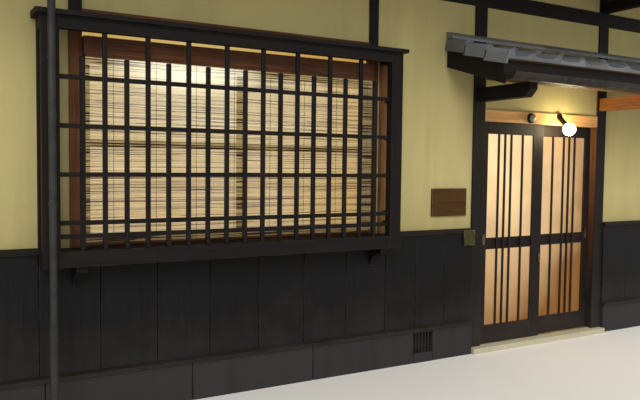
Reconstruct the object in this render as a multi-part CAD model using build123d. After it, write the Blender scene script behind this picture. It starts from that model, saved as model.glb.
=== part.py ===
from build123d import *
import os
from math import acos, ceil, cos, pi, sin, sqrt

os.makedirs("parts", exist_ok=True)

# A two-storey timber townhouse that stands in a row: posts with plaster between them, a projecting
# lattice window and a two-leaf sliding entrance on the street, and tiled roofs. Millimetres, Z up.
# X runs along the street front, to the right for someone who faces it, and the street is at -Y.
# The origin is on the ground, at the middle of the plan.

# Plan: post centre to post centre along the street, left to right
LEFT_BAY = 1015
WINDOW_BAY = 2100
WALL_BAY = 1045
DOOR_BAY = 1490
RIGHT_BAY = 1000
DEPTH = 7800  # from the outer face of the front posts to that of the back posts
BACK_BAYS = 4  # equal bays in the back wall

# Timber and plaster
POST = 120  # corner and door posts, square
STUD = 75  # width of the slimmer posts beside the windows
BEAM_DROP = 120  # depth of the floor beams and wall plates
PLASTER = 70
PLASTER_SET_BACK = 15  # posts stand this proud of the plaster
PARTY_WALL = 120
BOARD_JOINT = 2  # between boards that meet end to end

# Levels above the ground
PLINTH_TOP = 250
DADO_TOP = 1033
FLOOR_BEAM_TOP = 2950
PLATE_TOP = 4900
PLINTH_PROUD = 35
PLINTH_INSIDE = 20  # the plinth is this much wider than the posts, inside
PLINTH_JOINT = 4  # mortar joint at the corners of the plinth
GROUND_SILL = 120  # depth of the timber laid on the plinth
DRIP_BOARD = 31
DRIP_BOARD_PROUD = 50
DRIP_FALL = 10
GROUND_SLAB = 45
UPPER_FLOOR = 100

# Boarded dado
DADO_BOARD = 18
DADO_RAIL = 35
DADO_RAIL_PROUD = 32

# Projecting lattice window
BAY_PAST_LEFT_POST = 177  # how far the bay reaches past the posts beside its window
BAY_PAST_RIGHT_POST = 83
BAY_PROJECTION = 200
BAY_STILE = 95
BAY_FRAME_DEPTH = 60
BAY_BOTTOM = 938
BAY_SILL_TOP = 1028
BAY_HEAD = 2274
BAY_BEAM_TOP = 2345
BAY_CAP = 25
BAY_CAP_OVERHANG = 30
BAY_FLOOR = 24
BAY_SIDE_POST = 42
BAR_COUNT = 17  # upright bars across the front of the lattice
BAR_WIDTH = 27
BAR_DEPTH = 24
BAR_SET_BACK = 14
CHILD_BAR_TOP = 2130  # every second bar stops short of the head
RAIL_HEIGHT = 27
RAIL_DEPTH = 11
RAIL_TOPS = (2024, 1751, 1477, 1203, 1126)
BRACKET_DROP = 150
BRACKET_WIDTH = 60
BRACKET_NOSE = 38
BRACKET_CURVE = 180  # radius of the hollow underside

# Window in the wall behind the bay
SASH_SILL = 45
SASH_SILL_TOP = 1045
SASH_HEAD = 2165
SASH_HEAD_TOP = 2270
SASH_HEAD_PROUD = 60
TRANSOM_TOP = 2390
WINDOW_LINTEL = 45
SASH_STILE = 45
SASH_THICK = 30
SASH_GAP = 2  # between sashes that pass each other
SASH_RAIL_AT = 0.54  # height of the middle rail, as a share of the sash
PANE = 4
BLIND_THICK = 6
BLIND_BATTEN = 15
BLIND_SET_OUT = 50
BLIND_GAP = 8

# Entrance
SILL_STONE_PROUD = 60
ENTRANCE_HEAD = 1910
ENTRANCE_HEAD_DEPTH = 97
LEAF_THICK = 33
LEAF_GAP = 8
LEAF_SET_BACK = 24
LEAF_STILE = 45
LEAF_TOP_RAIL = 95
LEAF_MIDDLE_RAIL = 98
LEAF_BOTTOM_RAIL = 154
LEAF_LOWER_GLASS = 640
LEAF_CLEARANCE = 5
RAIL_SET_BACK = 13  # the leaf's middle rail is this far behind its stiles
DOOR_BAR = 18
NARROW_GAP = 66
TRACK_WIDTH = 10
TRACK_HEIGHT = 8
RUNNER_GAP = 0.3
RUNNER_LENGTH = 70
RUNNER_WIDTH = 12
TONGUE = 18
TONGUE_REACH = 12  # how far the leaf's tongue stands into the head

# Canopy over the entrance
CANOPY_WALL_TOP = 2550
CANOPY_PROJECTION = 600
CANOPY_PITCH = 0.3
CANOPY_LEFT_OVERHANG = 293
CANOPY_TILES = 50
CANOPY_RAFTER = (36, 45)  # timbers are given as (width, depth)
CANOPY_PURLIN = (90, 110)
CANOPY_PURLIN_OUT = 470
CANOPY_ARM_DEPTH = 110
CANOPY_FASCIA_DROP = 76  # how far a fascia reaches below the rafters
CANOPY_GUTTER_DROP = 96  # from the underside of the tiles' edge to the rim of the gutter

# Lower eaves, front and back
EAVE_PROJECTION = 900
EAVE_PITCH = 0.4
EAVE_ARM_DEPTH = 100
EAVE_PURLIN = (100, 120)
EAVE_PURLIN_OUT = 650
EAVE_RAFTER = (42, 60)
EAVE_TILES = 60
EAVE_FASCIA_DROP = 25
EAVE_GUTTER_DROP = 8

# Main roof
ROOF_PITCH = 0.45
ROOF_PROJECTION = 700
ROOF_RAFTER = (54, 90)
ROOF_TILES = 75
ROOF_FASCIA_DROP = 25
ROOF_GUTTER_DROP = 8
GABLE_OVERHANG = 100
RIDGE_BEAM = (120, 150)
PURLIN_BAYS = 3  # from the ridge beam to the wall plate
RIDGE_WIDTH = 300
RIDGE_HEIGHT = 150
RIDGE_CAP = 75  # radius
RIDGE_HEAD = 98  # radius of the round head of an end tile
RIDGE_END = 60
RIDGE_JOINT = 2  # between the two slopes

# Common to the roofs
ROOF_BOARD = 14
RAFTER_PITCH = 455
TILE_OVERHANG = 60
VERGE_BOARD = 20
VERGE_DROP = 170
ARM_GAP = 2.5  # between a verge board and the arm on a corner post
FASCIA = 20
GUTTER_RADIUS = 55
GUTTER_WALL = 3
COPING = (60, 40)

# Upper storey windows
UPPER_SILL_ABOVE_EAVE = 256  # from where the lower eave meets the wall
UPPER_WINDOW = 650  # height
UPPER_FRAME = 45
UPPER_BARS_PITCH = 110
UPPER_RAILS = 2
FLAT_BAR_DEPTH = 12

# Small pieces on the street front
NAME_BOARD = (352, 221, 18)
NAME_BOARD_FROM_POST = 64
NAME_BOARD_BOTTOM = 1139
NAME_BOARD_BEVEL = 3
NOTICE = (110, 120, 8)
NOTICE_BELOW_RAIL_TOP = 13
PIPE_RADIUS = 21
PIPE_GAP = 3  # from the cap of the bay to the pipe
PIPE_SWAY = 273  # sideways, from the gutter's outlet to the pipe
PIPE_DROP = 120
PIPE_BEND = 90
PIPE_ELBOW_AT = 2500
PIPE_SLEEVE = (24, 620)  # radius and height
CLIP_HEIGHTS = (560, 1300, 2100)
CLIP_BAND = (4, 16)
CLIP_STEM = 12
CLIP_FIT = 0.3
LAMP_FROM_POST = 505
LAMP_ABOVE_HEAD = 75  # from the top of the doorway
LAMP_TILT = 45
LAMP_ROSE = (30, 12)
LAMP_NECK = (22, 118)
GLOBE_RADIUS = 52
GLOBE_BANDS = 8  # straight bands that stand for its curve
DOME_FROM_POST = 850
DOME_ABOVE_HEAD = 45
DOME_RADIUS = 44
DOME_BASE = 14
DOME_PROUD = 32
DOME_RIM = 3
DOME_BEVEL = 18

# Worked out from the above
FRONTAGE = LEFT_BAY + WINDOW_BAY + WALL_BAY + DOOR_BAY + RIGHT_BAY
HALF = FRONTAGE / 2
END = HALF + POST / 2  # outer face of the party walls
FRONT_POSTS = [
    (-HALF, POST),
    (-HALF + LEFT_BAY, STUD),
    (-HALF + LEFT_BAY + WINDOW_BAY, STUD),
    (HALF - RIGHT_BAY - DOOR_BAY, POST),
    (HALF - RIGHT_BAY, POST),
    (HALF, POST),
]
BACK_BAY = FRONTAGE / BACK_BAYS
BACK_POSTS = [
    (-HALF + i * BACK_BAY, POST if i in (0, BACK_BAYS) else STUD) for i in range(BACK_BAYS + 1)
]
SILL_BEAM_TOP = PLINTH_TOP + GROUND_SILL
FLOOR_BEAM_BOTTOM = FLOOR_BEAM_TOP - BEAM_DROP
PLATE_BOTTOM = PLATE_TOP - BEAM_DROP
PLASTER_Y = (PLASTER_SET_BACK, PLASTER_SET_BACK + PLASTER)
WINDOW_SIDES = (FRONT_POSTS[1][0] + STUD / 2, FRONT_POSTS[2][0] - STUD / 2)
DOOR_SIDES = (FRONT_POSTS[3][0] + POST / 2, FRONT_POSTS[4][0] - POST / 2)
DOOR_OUTER = (FRONT_POSTS[3][0] - POST / 2, FRONT_POSTS[4][0] + POST / 2)
BAY_SIDES = (WINDOW_SIDES[0] - STUD - BAY_PAST_LEFT_POST, WINDOW_SIDES[1] + STUD + BAY_PAST_RIGHT_POST)
BAY_INNER = (BAY_SIDES[0] + BAY_STILE, BAY_SIDES[1] - BAY_STILE)
BAR_Y = (-BAY_PROJECTION + BAR_SET_BACK, -BAY_PROJECTION + BAR_SET_BACK + BAR_DEPTH)
TRANSOM_HEAD = TRANSOM_TOP + WINDOW_LINTEL
ARM_WIDTH = POST - 2 * (VERGE_BOARD + ARM_GAP)
EAVE_REACH = EAVE_PURLIN_OUT + EAVE_PURLIN[0] / 2
EAVE_SURFACE = FLOOR_BEAM_TOP + EAVE_ARM_DEPTH + EAVE_PURLIN[1] + EAVE_PITCH * EAVE_REACH
EAVE_THICK = (EAVE_RAFTER[1] + ROOF_BOARD + EAVE_TILES) * sqrt(1 + EAVE_PITCH**2)
UPPER_SILL = EAVE_SURFACE + EAVE_THICK + UPPER_SILL_ABOVE_EAVE
UPPER_HEAD = UPPER_SILL + UPPER_WINDOW

FRONT_WALL = Location((0, -DEPTH / 2, 0))
BACK_WALL = Location((0, DEPTH / 2, 0), (0, 0, 180))
PIECES = {}  # the solids of each piece, by its name


# Helpers. Every wall piece is drawn in its wall's own frame: y = 0 at the outer face of the posts,
# with y growing inwards, and is then set against the front or the back of the house.


def block(x, y, z):
    """A squared timber or slab between the given (low, high) pairs."""
    size = [high - low for low, high in (x, y, z)]
    middle = [(high + low) / 2 for low, high in (x, y, z)]
    return Pos(*middle) * Box(*size)


def along_x(outline, x):
    """A profile of (y, z) points, run from x[0] to x[1]."""
    face = make_face(Plane.YZ * Polyline(*outline, close=True))
    return extrude(Pos(x[0], 0, 0) * face, amount=x[1] - x[0], dir=(1, 0, 0))


def add(name, *shapes, wall=None):
    """Adds solids to the named piece. Like solids share a piece and lie apart in it."""
    placed = [wall * shape for shape in shapes] if wall else shapes
    PIECES.setdefault(name, []).extend(solid for shape in placed for solid in shape.solids())


def spaced(low, high, pitch):
    """Evenly spaced places from low to high, no further apart than the pitch."""
    steps = max(1, ceil((high - low) / pitch))
    return [low + (high - low) * i / steps for i in range(steps + 1)]


def centred(middle, width):
    """The (low, high) pair of a width about its middle."""
    return (middle - width / 2, middle + width / 2)


def between(row, left):
    """The clear width between a post of the row and its neighbour."""
    return (centred(*row[left])[1], centred(*row[left + 1])[0])


def upright_depth(depth, pitch):
    """Depth of a sloping timber, measured upright."""
    return depth * sqrt(1 + pitch**2)


# Base of the house


def plinth():
    """Low masonry wall on all four sides, with a gap for the entrance."""
    y = (-PLINTH_PROUD, POST + PLINTH_INSIDE)
    z = (0, PLINTH_TOP)
    add("plinth", block((-END, DOOR_OUTER[0]), y, z), wall=FRONT_WALL)
    add("plinth", block((DOOR_OUTER[1], END), y, z), wall=FRONT_WALL)
    add("plinth", block((-END, END), y, z), wall=BACK_WALL)
    reach = DEPTH / 2 - y[1] - PLINTH_JOINT
    inner = END - PARTY_WALL - PLINTH_INSIDE
    for x in ((-END, -inner), (inner, END)):
        add("plinth", block(x, (-reach, reach), z))


def ground_sills():
    """Timbers laid on the plinth, under the posts."""
    z = (PLINTH_TOP, SILL_BEAM_TOP)
    y = (0, POST)
    add("ground_sills", block((-END, DOOR_OUTER[0]), y, z), wall=FRONT_WALL)
    add("ground_sills", block((DOOR_OUTER[1], END), y, z), wall=FRONT_WALL)
    add("ground_sills", block((-END, END), y, z), wall=BACK_WALL)


def floors():
    """Beaten floor inside the entrance, and the boarded upper floor."""
    x = END - PARTY_WALL
    y = DEPTH / 2 - POST
    low_x = x - PLINTH_INSIDE
    low_y = y - PLINTH_INSIDE
    add("ground_floor", block((-low_x, low_x), (-low_y, low_y), (0, GROUND_SLAB)))
    add("upper_floor", block((-x, x), (-y, y), (FLOOR_BEAM_TOP - UPPER_FLOOR, FLOOR_BEAM_TOP)))


# Timber frame and plaster


def posts(row, z):
    """One row of posts between two levels."""
    return [block(centred(x, wide), (0, POST), z) for x, wide in row]


def timber_frame():
    """Posts, floor beams and wall plates, front and back."""
    lower = (SILL_BEAM_TOP, FLOOR_BEAM_BOTTOM)
    add("posts", *posts(FRONT_POSTS[:3] + FRONT_POSTS[5:], lower), wall=FRONT_WALL)
    add("posts", *posts(FRONT_POSTS[3:5], (GROUND_SLAB, FLOOR_BEAM_BOTTOM)), wall=FRONT_WALL)
    add("posts", *posts(BACK_POSTS, lower), wall=BACK_WALL)
    plate = [(0, PLATE_BOTTOM), (POST, PLATE_BOTTOM), (POST, PLATE_TOP + ROOF_PITCH * POST), (0, PLATE_TOP)]
    for row, wall in ((FRONT_POSTS, FRONT_WALL), (BACK_POSTS, BACK_WALL)):
        add("posts", *posts(row, (FLOOR_BEAM_TOP, PLATE_BOTTOM)), wall=wall)
        add("wall_beams", block((-END, END), (0, POST), (FLOOR_BEAM_BOTTOM, FLOOR_BEAM_TOP)), wall=wall)
        add("wall_beams", along_x(plate, (-END, END)), wall=wall)


def plaster_panels(row, z, openings):
    """Plaster between a row of posts, parted where a numbered bay has an opening."""
    panels = []
    for bay in range(len(row) - 1):
        x = between(row, bay)
        if bay in openings:
            sill, head = openings[bay]
            parts = [part for part in ((z[0], sill), (head, z[1])) if part[1] > part[0]]
            panels += [block(x, PLASTER_Y, part) for part in parts]
        else:
            panels.append(block(x, PLASTER_Y, z))
    return panels


def plaster():
    """Plaster of both storeys, front and back."""
    lower = (SILL_BEAM_TOP, FLOOR_BEAM_BOTTOM)
    upper = (FLOOR_BEAM_TOP, PLATE_BOTTOM)
    above = (UPPER_SILL - UPPER_FRAME, UPPER_HEAD + UPPER_FRAME)
    bay_window = (SASH_SILL_TOP - SASH_SILL, TRANSOM_HEAD)
    entrance = (SILL_BEAM_TOP, ENTRANCE_HEAD + ENTRANCE_HEAD_DEPTH)
    below = (SASH_SILL_TOP - SASH_SILL, SASH_HEAD + SASH_SILL)
    add("front_plaster", *plaster_panels(FRONT_POSTS, lower, {1: bay_window, 3: entrance}), wall=FRONT_WALL)
    add("front_plaster", *plaster_panels(FRONT_POSTS, upper, {1: above, 3: above}), wall=FRONT_WALL)
    add("back_plaster", *plaster_panels(BACK_POSTS, lower, {1: below, 2: below}), wall=BACK_WALL)
    add("back_plaster", *plaster_panels(BACK_POSTS, upper, {1: above, 2: above}), wall=BACK_WALL)


def party_walls():
    """Plain walls at both ends of the house, up to the underside of the roof boards."""
    lift = upright_depth(ROOF_RAFTER[1], ROOF_PITCH)
    edge = DEPTH / 2 - POST
    eave_z = PLATE_TOP + ROOF_PITCH * POST + lift
    ridge_z = PLATE_TOP + ROOF_PITCH * DEPTH / 2 + lift
    outline = [(-edge, PLINTH_TOP), (edge, PLINTH_TOP), (edge, eave_z), (0, ridge_z), (-edge, eave_z)]
    for x in ((-END, -END + PARTY_WALL), (END - PARTY_WALL, END)):
        add("party_walls", along_x(outline, x))


# Dado


def dado():
    """Upright boards below the plaster, the rail on top of them and the drip board at their foot."""
    foot = PLINTH_TOP + DRIP_BOARD
    rail_z = (DADO_TOP - DADO_RAIL, DADO_TOP)
    y = (-DADO_BOARD, 0)
    runs = [(-END, BAY_SIDES[0]), (BAY_SIDES[1], DOOR_OUTER[0]), (DOOR_OUTER[1], END)]
    under_window = (BAY_SIDES[0] + BOARD_JOINT, BAY_SIDES[1] - BOARD_JOINT)
    add("dado_boards", *(block(x, y, (foot, rail_z[0])) for x in runs), wall=FRONT_WALL)
    add("dado_boards", block(under_window, y, (foot, BAY_BOTTOM)), wall=FRONT_WALL)
    add("dado_boards", block((-END, END), y, (foot, rail_z[0])), wall=BACK_WALL)
    front_timbers = [centred(*post) for post in FRONT_POSTS]
    back_timbers = [centred(*post) for post in BACK_POSTS] + [between(BACK_POSTS, i) for i in (1, 2)]
    add("dado_rails", *(dado_rail(x, rail_z, front_timbers) for x in runs), wall=FRONT_WALL)
    add("dado_rails", dado_rail((-END, END), rail_z, back_timbers), wall=BACK_WALL)
    drip = [(-DRIP_BOARD_PROUD, PLINTH_TOP), (0, PLINTH_TOP), (0, foot), (-DADO_BOARD, foot)]
    drip.append((-DRIP_BOARD_PROUD, foot - DRIP_FALL))
    add("dado_rails", along_x(drip, (-END, DOOR_OUTER[0])), wall=FRONT_WALL)
    add("dado_rails", along_x(drip, (DOOR_OUTER[1], END)), wall=FRONT_WALL)
    add("dado_rails", along_x(drip, (-END, END)), wall=BACK_WALL)


def dado_rail(x, z, timbers):
    """Moulded rail on top of the boards, tight to the plaster and notched round what stands proud."""
    low, high = z
    outline = [(-DADO_RAIL_PROUD, low), (PLASTER_SET_BACK, low), (PLASTER_SET_BACK, high)]
    outline += [(-DADO_RAIL_PROUD / 2, high), (-DADO_RAIL_PROUD, high - DADO_RAIL / 4)]
    rail = along_x(outline, x)
    for span in timbers:
        rail -= block(span, (0, PLASTER_SET_BACK), z)
    return rail


# Projecting lattice window


def bay_frame():
    """Stiles, beams, side rails, floor and cap of the window that stands out from the wall."""
    front = (-BAY_PROJECTION, -BAY_PROJECTION + BAY_FRAME_DEPTH)
    left, right = BAY_SIDES
    stile_x = ((left, BAY_INNER[0]), (BAY_INNER[1], right))
    side_x = ((left, left + BAY_FRAME_DEPTH), (right - BAY_FRAME_DEPTH, right))
    levels = ((BAY_BOTTOM, BAY_SILL_TOP), (BAY_HEAD, BAY_BEAM_TOP))
    side_y = (front[1], PLASTER_SET_BACK)
    wall_y = (PLASTER_SET_BACK - BAY_SIDE_POST, PLASTER_SET_BACK)
    add("bay_posts", *(block(x, front, (BAY_BOTTOM, BAY_BEAM_TOP)) for x in stile_x), wall=FRONT_WALL)
    add("bay_posts", *(block(x, wall_y, (BAY_SILL_TOP, BAY_HEAD)) for x in side_x), wall=FRONT_WALL)
    add("bay_rails", *(block(BAY_INNER, front, z) for z in levels), wall=FRONT_WALL)
    add("bay_rails", *(block(x, side_y, z) for x in side_x for z in levels), wall=FRONT_WALL)
    floor_x = (side_x[0][1], side_x[1][0])
    floor_z = (BAY_SILL_TOP - BAY_FLOOR, BAY_SILL_TOP)
    add("bay_boards", block(floor_x, (front[1], 0), floor_z), wall=FRONT_WALL)
    over = BAY_CAP_OVERHANG
    top = BAY_BEAM_TOP + BAY_CAP
    cap = [(-BAY_PROJECTION - over, BAY_BEAM_TOP), (0, BAY_BEAM_TOP), (0, top + over / 2)]
    cap.append((-BAY_PROJECTION - over, top))
    add("bay_boards", along_x(cap, (left - over, right + over)), wall=FRONT_WALL)


def lattice_grid(bars, rails, bar_y, rail_y):
    """Upright bars with rails let through them, as one piece."""
    uprights = [block(x, bar_y, z) for x, z in bars]
    return uprights[0].fuse(*uprights[1:], *(block(x, rail_y, z) for x, z in rails))


def bay_lattice():
    """Front lattice of long and short bars, and the lattice of both sides."""
    tops = (CHILD_BAR_TOP, BAY_HEAD)
    pitch = (BAY_INNER[1] - BAY_INNER[0]) / (BAR_COUNT + 1)
    bars = [
        (centred(BAY_INNER[0] + pitch * (i + 1), BAR_WIDTH), (BAY_SILL_TOP, tops[i % 2]))
        for i in range(BAR_COUNT)
    ]
    rail_y = centred(sum(BAR_Y) / 2, RAIL_DEPTH)
    rails_z = [(top - RAIL_HEIGHT, top) for top in RAIL_TOPS]
    add("bay_lattice", lattice_grid(bars, [(BAY_INNER, z) for z in rails_z], BAR_Y, rail_y), wall=FRONT_WALL)
    side_y = (-BAY_PROJECTION + BAY_FRAME_DEPTH, PLASTER_SET_BACK - BAY_SIDE_POST)
    bar_y = centred(sum(side_y) / 2, BAR_WIDTH)
    for x in (BAY_SIDES[0] + BAY_FRAME_DEPTH / 2, BAY_SIDES[1] - BAY_FRAME_DEPTH / 2):
        bar = block(centred(x, BAR_DEPTH), bar_y, (BAY_SILL_TOP, BAY_HEAD))
        rails = [block(centred(x, RAIL_DEPTH), side_y, z) for z in rails_z]
        add("bay_side_lattices", bar.fuse(*rails), wall=FRONT_WALL)


def bay_brackets():
    """Two brackets with a curved underside, that carry the bay."""
    reach = -BAY_PROJECTION + BAY_FRAME_DEPTH / 2
    face = -DADO_BOARD
    foot = BAY_BOTTOM - BRACKET_DROP
    nose = (reach, BAY_BOTTOM - BRACKET_NOSE)
    outline = Polyline((face, foot), (face, BAY_BOTTOM), (reach, BAY_BOTTOM), nose)
    outline += RadiusArc(nose, (face, foot), BRACKET_CURVE)
    profile = make_face(Plane.YZ * outline)
    for x, _ in FRONT_POSTS[1:3]:
        start = Pos(x - BRACKET_WIDTH / 2, 0, 0)
        add("bay_brackets", extrude(start * profile, amount=BRACKET_WIDTH, dir=(1, 0, 0)), wall=FRONT_WALL)


# Windows in the walls


def sash(x, y, z, rail_at):
    """A glazed sash: its timber frame, and the panes in it."""
    frame = block(x, y, z)
    inner_x = (x[0] + SASH_STILE, x[1] - SASH_STILE)
    edges = [z[0] + SASH_STILE, z[1] - SASH_STILE]
    if rail_at:
        edges[1:1] = centred(z[0] + (z[1] - z[0]) * rail_at, SASH_STILE)
    panes = []
    for light in zip(edges[::2], edges[1::2]):
        frame -= block(inner_x, y, light)
        panes.append(block(inner_x, centred(sum(y) / 2, PANE), light))
    return frame, panes


def add_sashes(x, z, glass_name, wall, rail_at=None):
    """Two sashes that pass each other, in a wall opening."""
    middle = (x[0] + x[1]) / 2
    lap = SASH_STILE / 2
    front = sum(PLASTER_Y) / 2 - SASH_GAP / 2 - SASH_THICK
    behind = sum(PLASTER_Y) / 2 + SASH_GAP / 2
    for span, y in (((x[0], middle + lap), front), ((middle - lap, x[1]), behind)):
        frame, panes = sash(span, (y, y + SASH_THICK), z, rail_at)
        add("window_sashes", frame, wall=wall)
        add(glass_name, *panes, wall=wall)


def add_window_rails(x, z, height, wall):
    """Sill and head of a window, as deep as the posts."""
    add("window_timbers", block(x, (0, POST), (z[0] - height, z[0])), wall=wall)
    add("window_timbers", block(x, (0, POST), (z[1], z[1] + height)), wall=wall)


def bay_window():
    """Sill, head, low transom light, sashes and reed blind behind the projecting lattice."""
    sill = (SASH_SILL_TOP - SASH_SILL, SASH_SILL_TOP)
    add("window_timbers", block(WINDOW_SIDES, (0, POST), sill), wall=FRONT_WALL)
    head = block(WINDOW_SIDES, (-SASH_HEAD_PROUD, POST), (SASH_HEAD, SASH_HEAD_TOP))
    add("window_timbers", head, wall=FRONT_WALL)
    add("window_timbers", block(WINDOW_SIDES, (0, POST), (TRANSOM_TOP, TRANSOM_HEAD)), wall=FRONT_WALL)
    light = block(WINDOW_SIDES, centred(sum(PLASTER_Y) / 2, PANE), (SASH_HEAD_TOP, TRANSOM_TOP))
    add("bay_window_glass", light, wall=FRONT_WALL)
    add_sashes(WINDOW_SIDES, (SASH_SILL_TOP, SASH_HEAD), "bay_window_glass", FRONT_WALL, SASH_RAIL_AT)
    blind_x = (WINDOW_SIDES[0] + BLIND_GAP, WINDOW_SIDES[1] - BLIND_GAP)
    batten_foot = SASH_HEAD - BLIND_BATTEN
    reeds = block(blind_x, centred(-BLIND_SET_OUT, BLIND_THICK), (SASH_SILL_TOP, batten_foot))
    batten = block(blind_x, centred(-BLIND_SET_OUT, BLIND_BATTEN), (batten_foot, SASH_HEAD))
    add("reed_blind", reeds + batten, wall=FRONT_WALL)


def upper_windows():
    """Sashes with a flat lattice in front, over the bay and over the entrance."""
    z = (UPPER_SILL, UPPER_HEAD)
    for x in (WINDOW_SIDES, DOOR_SIDES):
        add_window_rails(x, z, UPPER_FRAME, FRONT_WALL)
        add_sashes(x, z, "upper_and_back_glass", FRONT_WALL)
        add("upper_lattices", upper_lattice(x, z), wall=FRONT_WALL)


def upper_lattice(x, z):
    """Flat lattice between the posts, in front of the sashes."""
    y = (0, FLAT_BAR_DEPTH)
    bars = [(centred(at, BAR_WIDTH), z) for at in spaced(x[0], x[1], UPPER_BARS_PITCH)[1:-1]]
    levels = spaced(z[0], z[1], (z[1] - z[0]) / (UPPER_RAILS + 1))[1:-1]
    rails = [(x, centred(at, RAIL_HEIGHT)) for at in levels]
    return lattice_grid(bars, rails, y, centred(sum(y) / 2, FLAT_BAR_DEPTH / 2))


def back_windows():
    """Plain glazed sashes in the two middle bays of the back wall, on both storeys."""
    for bay in (1, 2):
        x = between(BACK_POSTS, bay)
        add_window_rails(x, (SASH_SILL_TOP, SASH_HEAD), SASH_SILL, BACK_WALL)
        add_sashes(x, (SASH_SILL_TOP, SASH_HEAD), "upper_and_back_glass", BACK_WALL, SASH_RAIL_AT)
        add_window_rails(x, (UPPER_SILL, UPPER_HEAD), UPPER_FRAME, BACK_WALL)
        add_sashes(x, (UPPER_SILL, UPPER_HEAD), "upper_and_back_glass", BACK_WALL)


# Entrance


def leaf_tracks():
    """The y span of each door leaf, the front one first."""
    front = (LEAF_SET_BACK, LEAF_SET_BACK + LEAF_THICK)
    behind = (front[1] + LEAF_GAP, front[1] + LEAF_GAP + LEAF_THICK)
    return front, behind


def entrance_frame():
    """Stone sill with two metal rails, and the grooved head that guides the leaves."""
    stone_y = (-SILL_STONE_PROUD, POST + PLINTH_INSIDE)
    add("door_sill_stone", block(DOOR_OUTER, stone_y, (0, GROUND_SLAB)), wall=FRONT_WALL)
    head = block(DOOR_SIDES, (0, POST), (ENTRANCE_HEAD, ENTRANCE_HEAD + ENTRANCE_HEAD_DEPTH))
    groove_z = (ENTRANCE_HEAD, ENTRANCE_HEAD + TONGUE_REACH + LEAF_CLEARANCE)
    for y in leaf_tracks():
        middle = sum(y) / 2
        track = block(DOOR_SIDES, centred(middle, TRACK_WIDTH), (GROUND_SLAB, GROUND_SLAB + TRACK_HEIGHT))
        add("door_tracks", track, wall=FRONT_WALL)
        head -= block(DOOR_SIDES, centred(middle, TONGUE + 2 * LEAF_CLEARANCE), groove_z)
    add("door_head", head, wall=FRONT_WALL)


def door_leaf(name, x, y, mirrored):
    """One sliding leaf: frame with bars, tongue and runners, and its glass."""
    bottom = GROUND_SLAB + LEAF_CLEARANCE
    top = ENTRANCE_HEAD - LEAF_CLEARANCE
    inner_x = (x[0] + LEAF_STILE, x[1] - LEAF_STILE)
    rail_foot = bottom + LEAF_BOTTOM_RAIL + LEAF_LOWER_GLASS
    rail_z = (rail_foot, rail_foot + LEAF_MIDDLE_RAIL)
    lights = ((bottom + LEAF_BOTTOM_RAIL, rail_z[0]), (rail_z[1], top - LEAF_TOP_RAIL))
    middle = sum(y) / 2
    frame = block(x, y, (bottom, top))
    for z in lights:
        frame -= block(inner_x, y, z)
    frame -= block(inner_x, (y[0], y[0] + RAIL_SET_BACK), rail_z)
    frame = frame.fuse(*door_bars(inner_x, y[0], (lights[0][0], lights[1][1]), mirrored))
    frame += block(x, centred(middle, TONGUE), (top, ENTRANCE_HEAD + TONGUE_REACH))
    groove_top = bottom + TRACK_HEIGHT + LEAF_CLEARANCE
    frame -= block(x, centred(middle, TRACK_WIDTH + 2 * LEAF_CLEARANCE), (bottom, groove_top))
    shoe_z = (GROUND_SLAB + TRACK_HEIGHT + RUNNER_GAP, groove_top)
    for at in (x[0] + RUNNER_LENGTH, x[1] - RUNNER_LENGTH):
        frame += block(centred(at, RUNNER_LENGTH), centred(middle, RUNNER_WIDTH), shoe_z)
    add(f"{name}_frame", frame, wall=FRONT_WALL)
    glass_y = (y[0] + RAIL_SET_BACK, y[0] + RAIL_SET_BACK + PANE)
    add(f"{name}_glass", *(block(inner_x, glass_y, z) for z in lights), wall=FRONT_WALL)


def door_bars(inner_x, face, z, mirrored):
    """Four upright bars from the bottom rail to the top rail: three close together and one apart."""
    wide = (inner_x[1] - inner_x[0] - 4 * DOOR_BAR - 2 * NARROW_GAP) / 3
    low = inner_x[0]
    bars = []
    for gap in (wide, NARROW_GAP, NARROW_GAP, wide):
        low += gap
        start = inner_x[0] + inner_x[1] - low - DOOR_BAR if mirrored else low
        bars.append(block((start, start + DOOR_BAR), (face, face + RAIL_SET_BACK), z))
        low += DOOR_BAR
    return bars


def entrance_leaves():
    """Two leaves of equal width that lap at the middle, each on its own track."""
    middle = sum(DOOR_SIDES) / 2
    lap = LEAF_STILE / 2
    front, behind = leaf_tracks()
    door_leaf("left_leaf", (DOOR_SIDES[0] + LEAF_CLEARANCE, middle + lap), front, False)
    door_leaf("right_leaf", (middle - lap, DOOR_SIDES[1] - LEAF_CLEARANCE), behind, True)


# Roofs. A slope is given by the height of its rafters' underside at the face of the wall.


def roof_layer(x, y, surface, pitch, z):
    """A slab between two heights above a surface that rises inwards from the wall's face."""
    outline = [(y[0], surface + pitch * y[0] + z[0]), (y[1], surface + pitch * y[1] + z[0])]
    outline += [(y[1], surface + pitch * y[1] + z[1]), (y[0], surface + pitch * y[0] + z[1])]
    return along_x(outline, x)


def roof_levels(pitch, rafter, tiles):
    """Heights of the boards' underside, the tiles' underside and the tiles' top above the rafters'."""
    board_low = upright_depth(rafter, pitch)
    board_high = board_low + upright_depth(ROOF_BOARD, pitch)
    return board_low, board_high, board_high + upright_depth(tiles, pitch)


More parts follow.
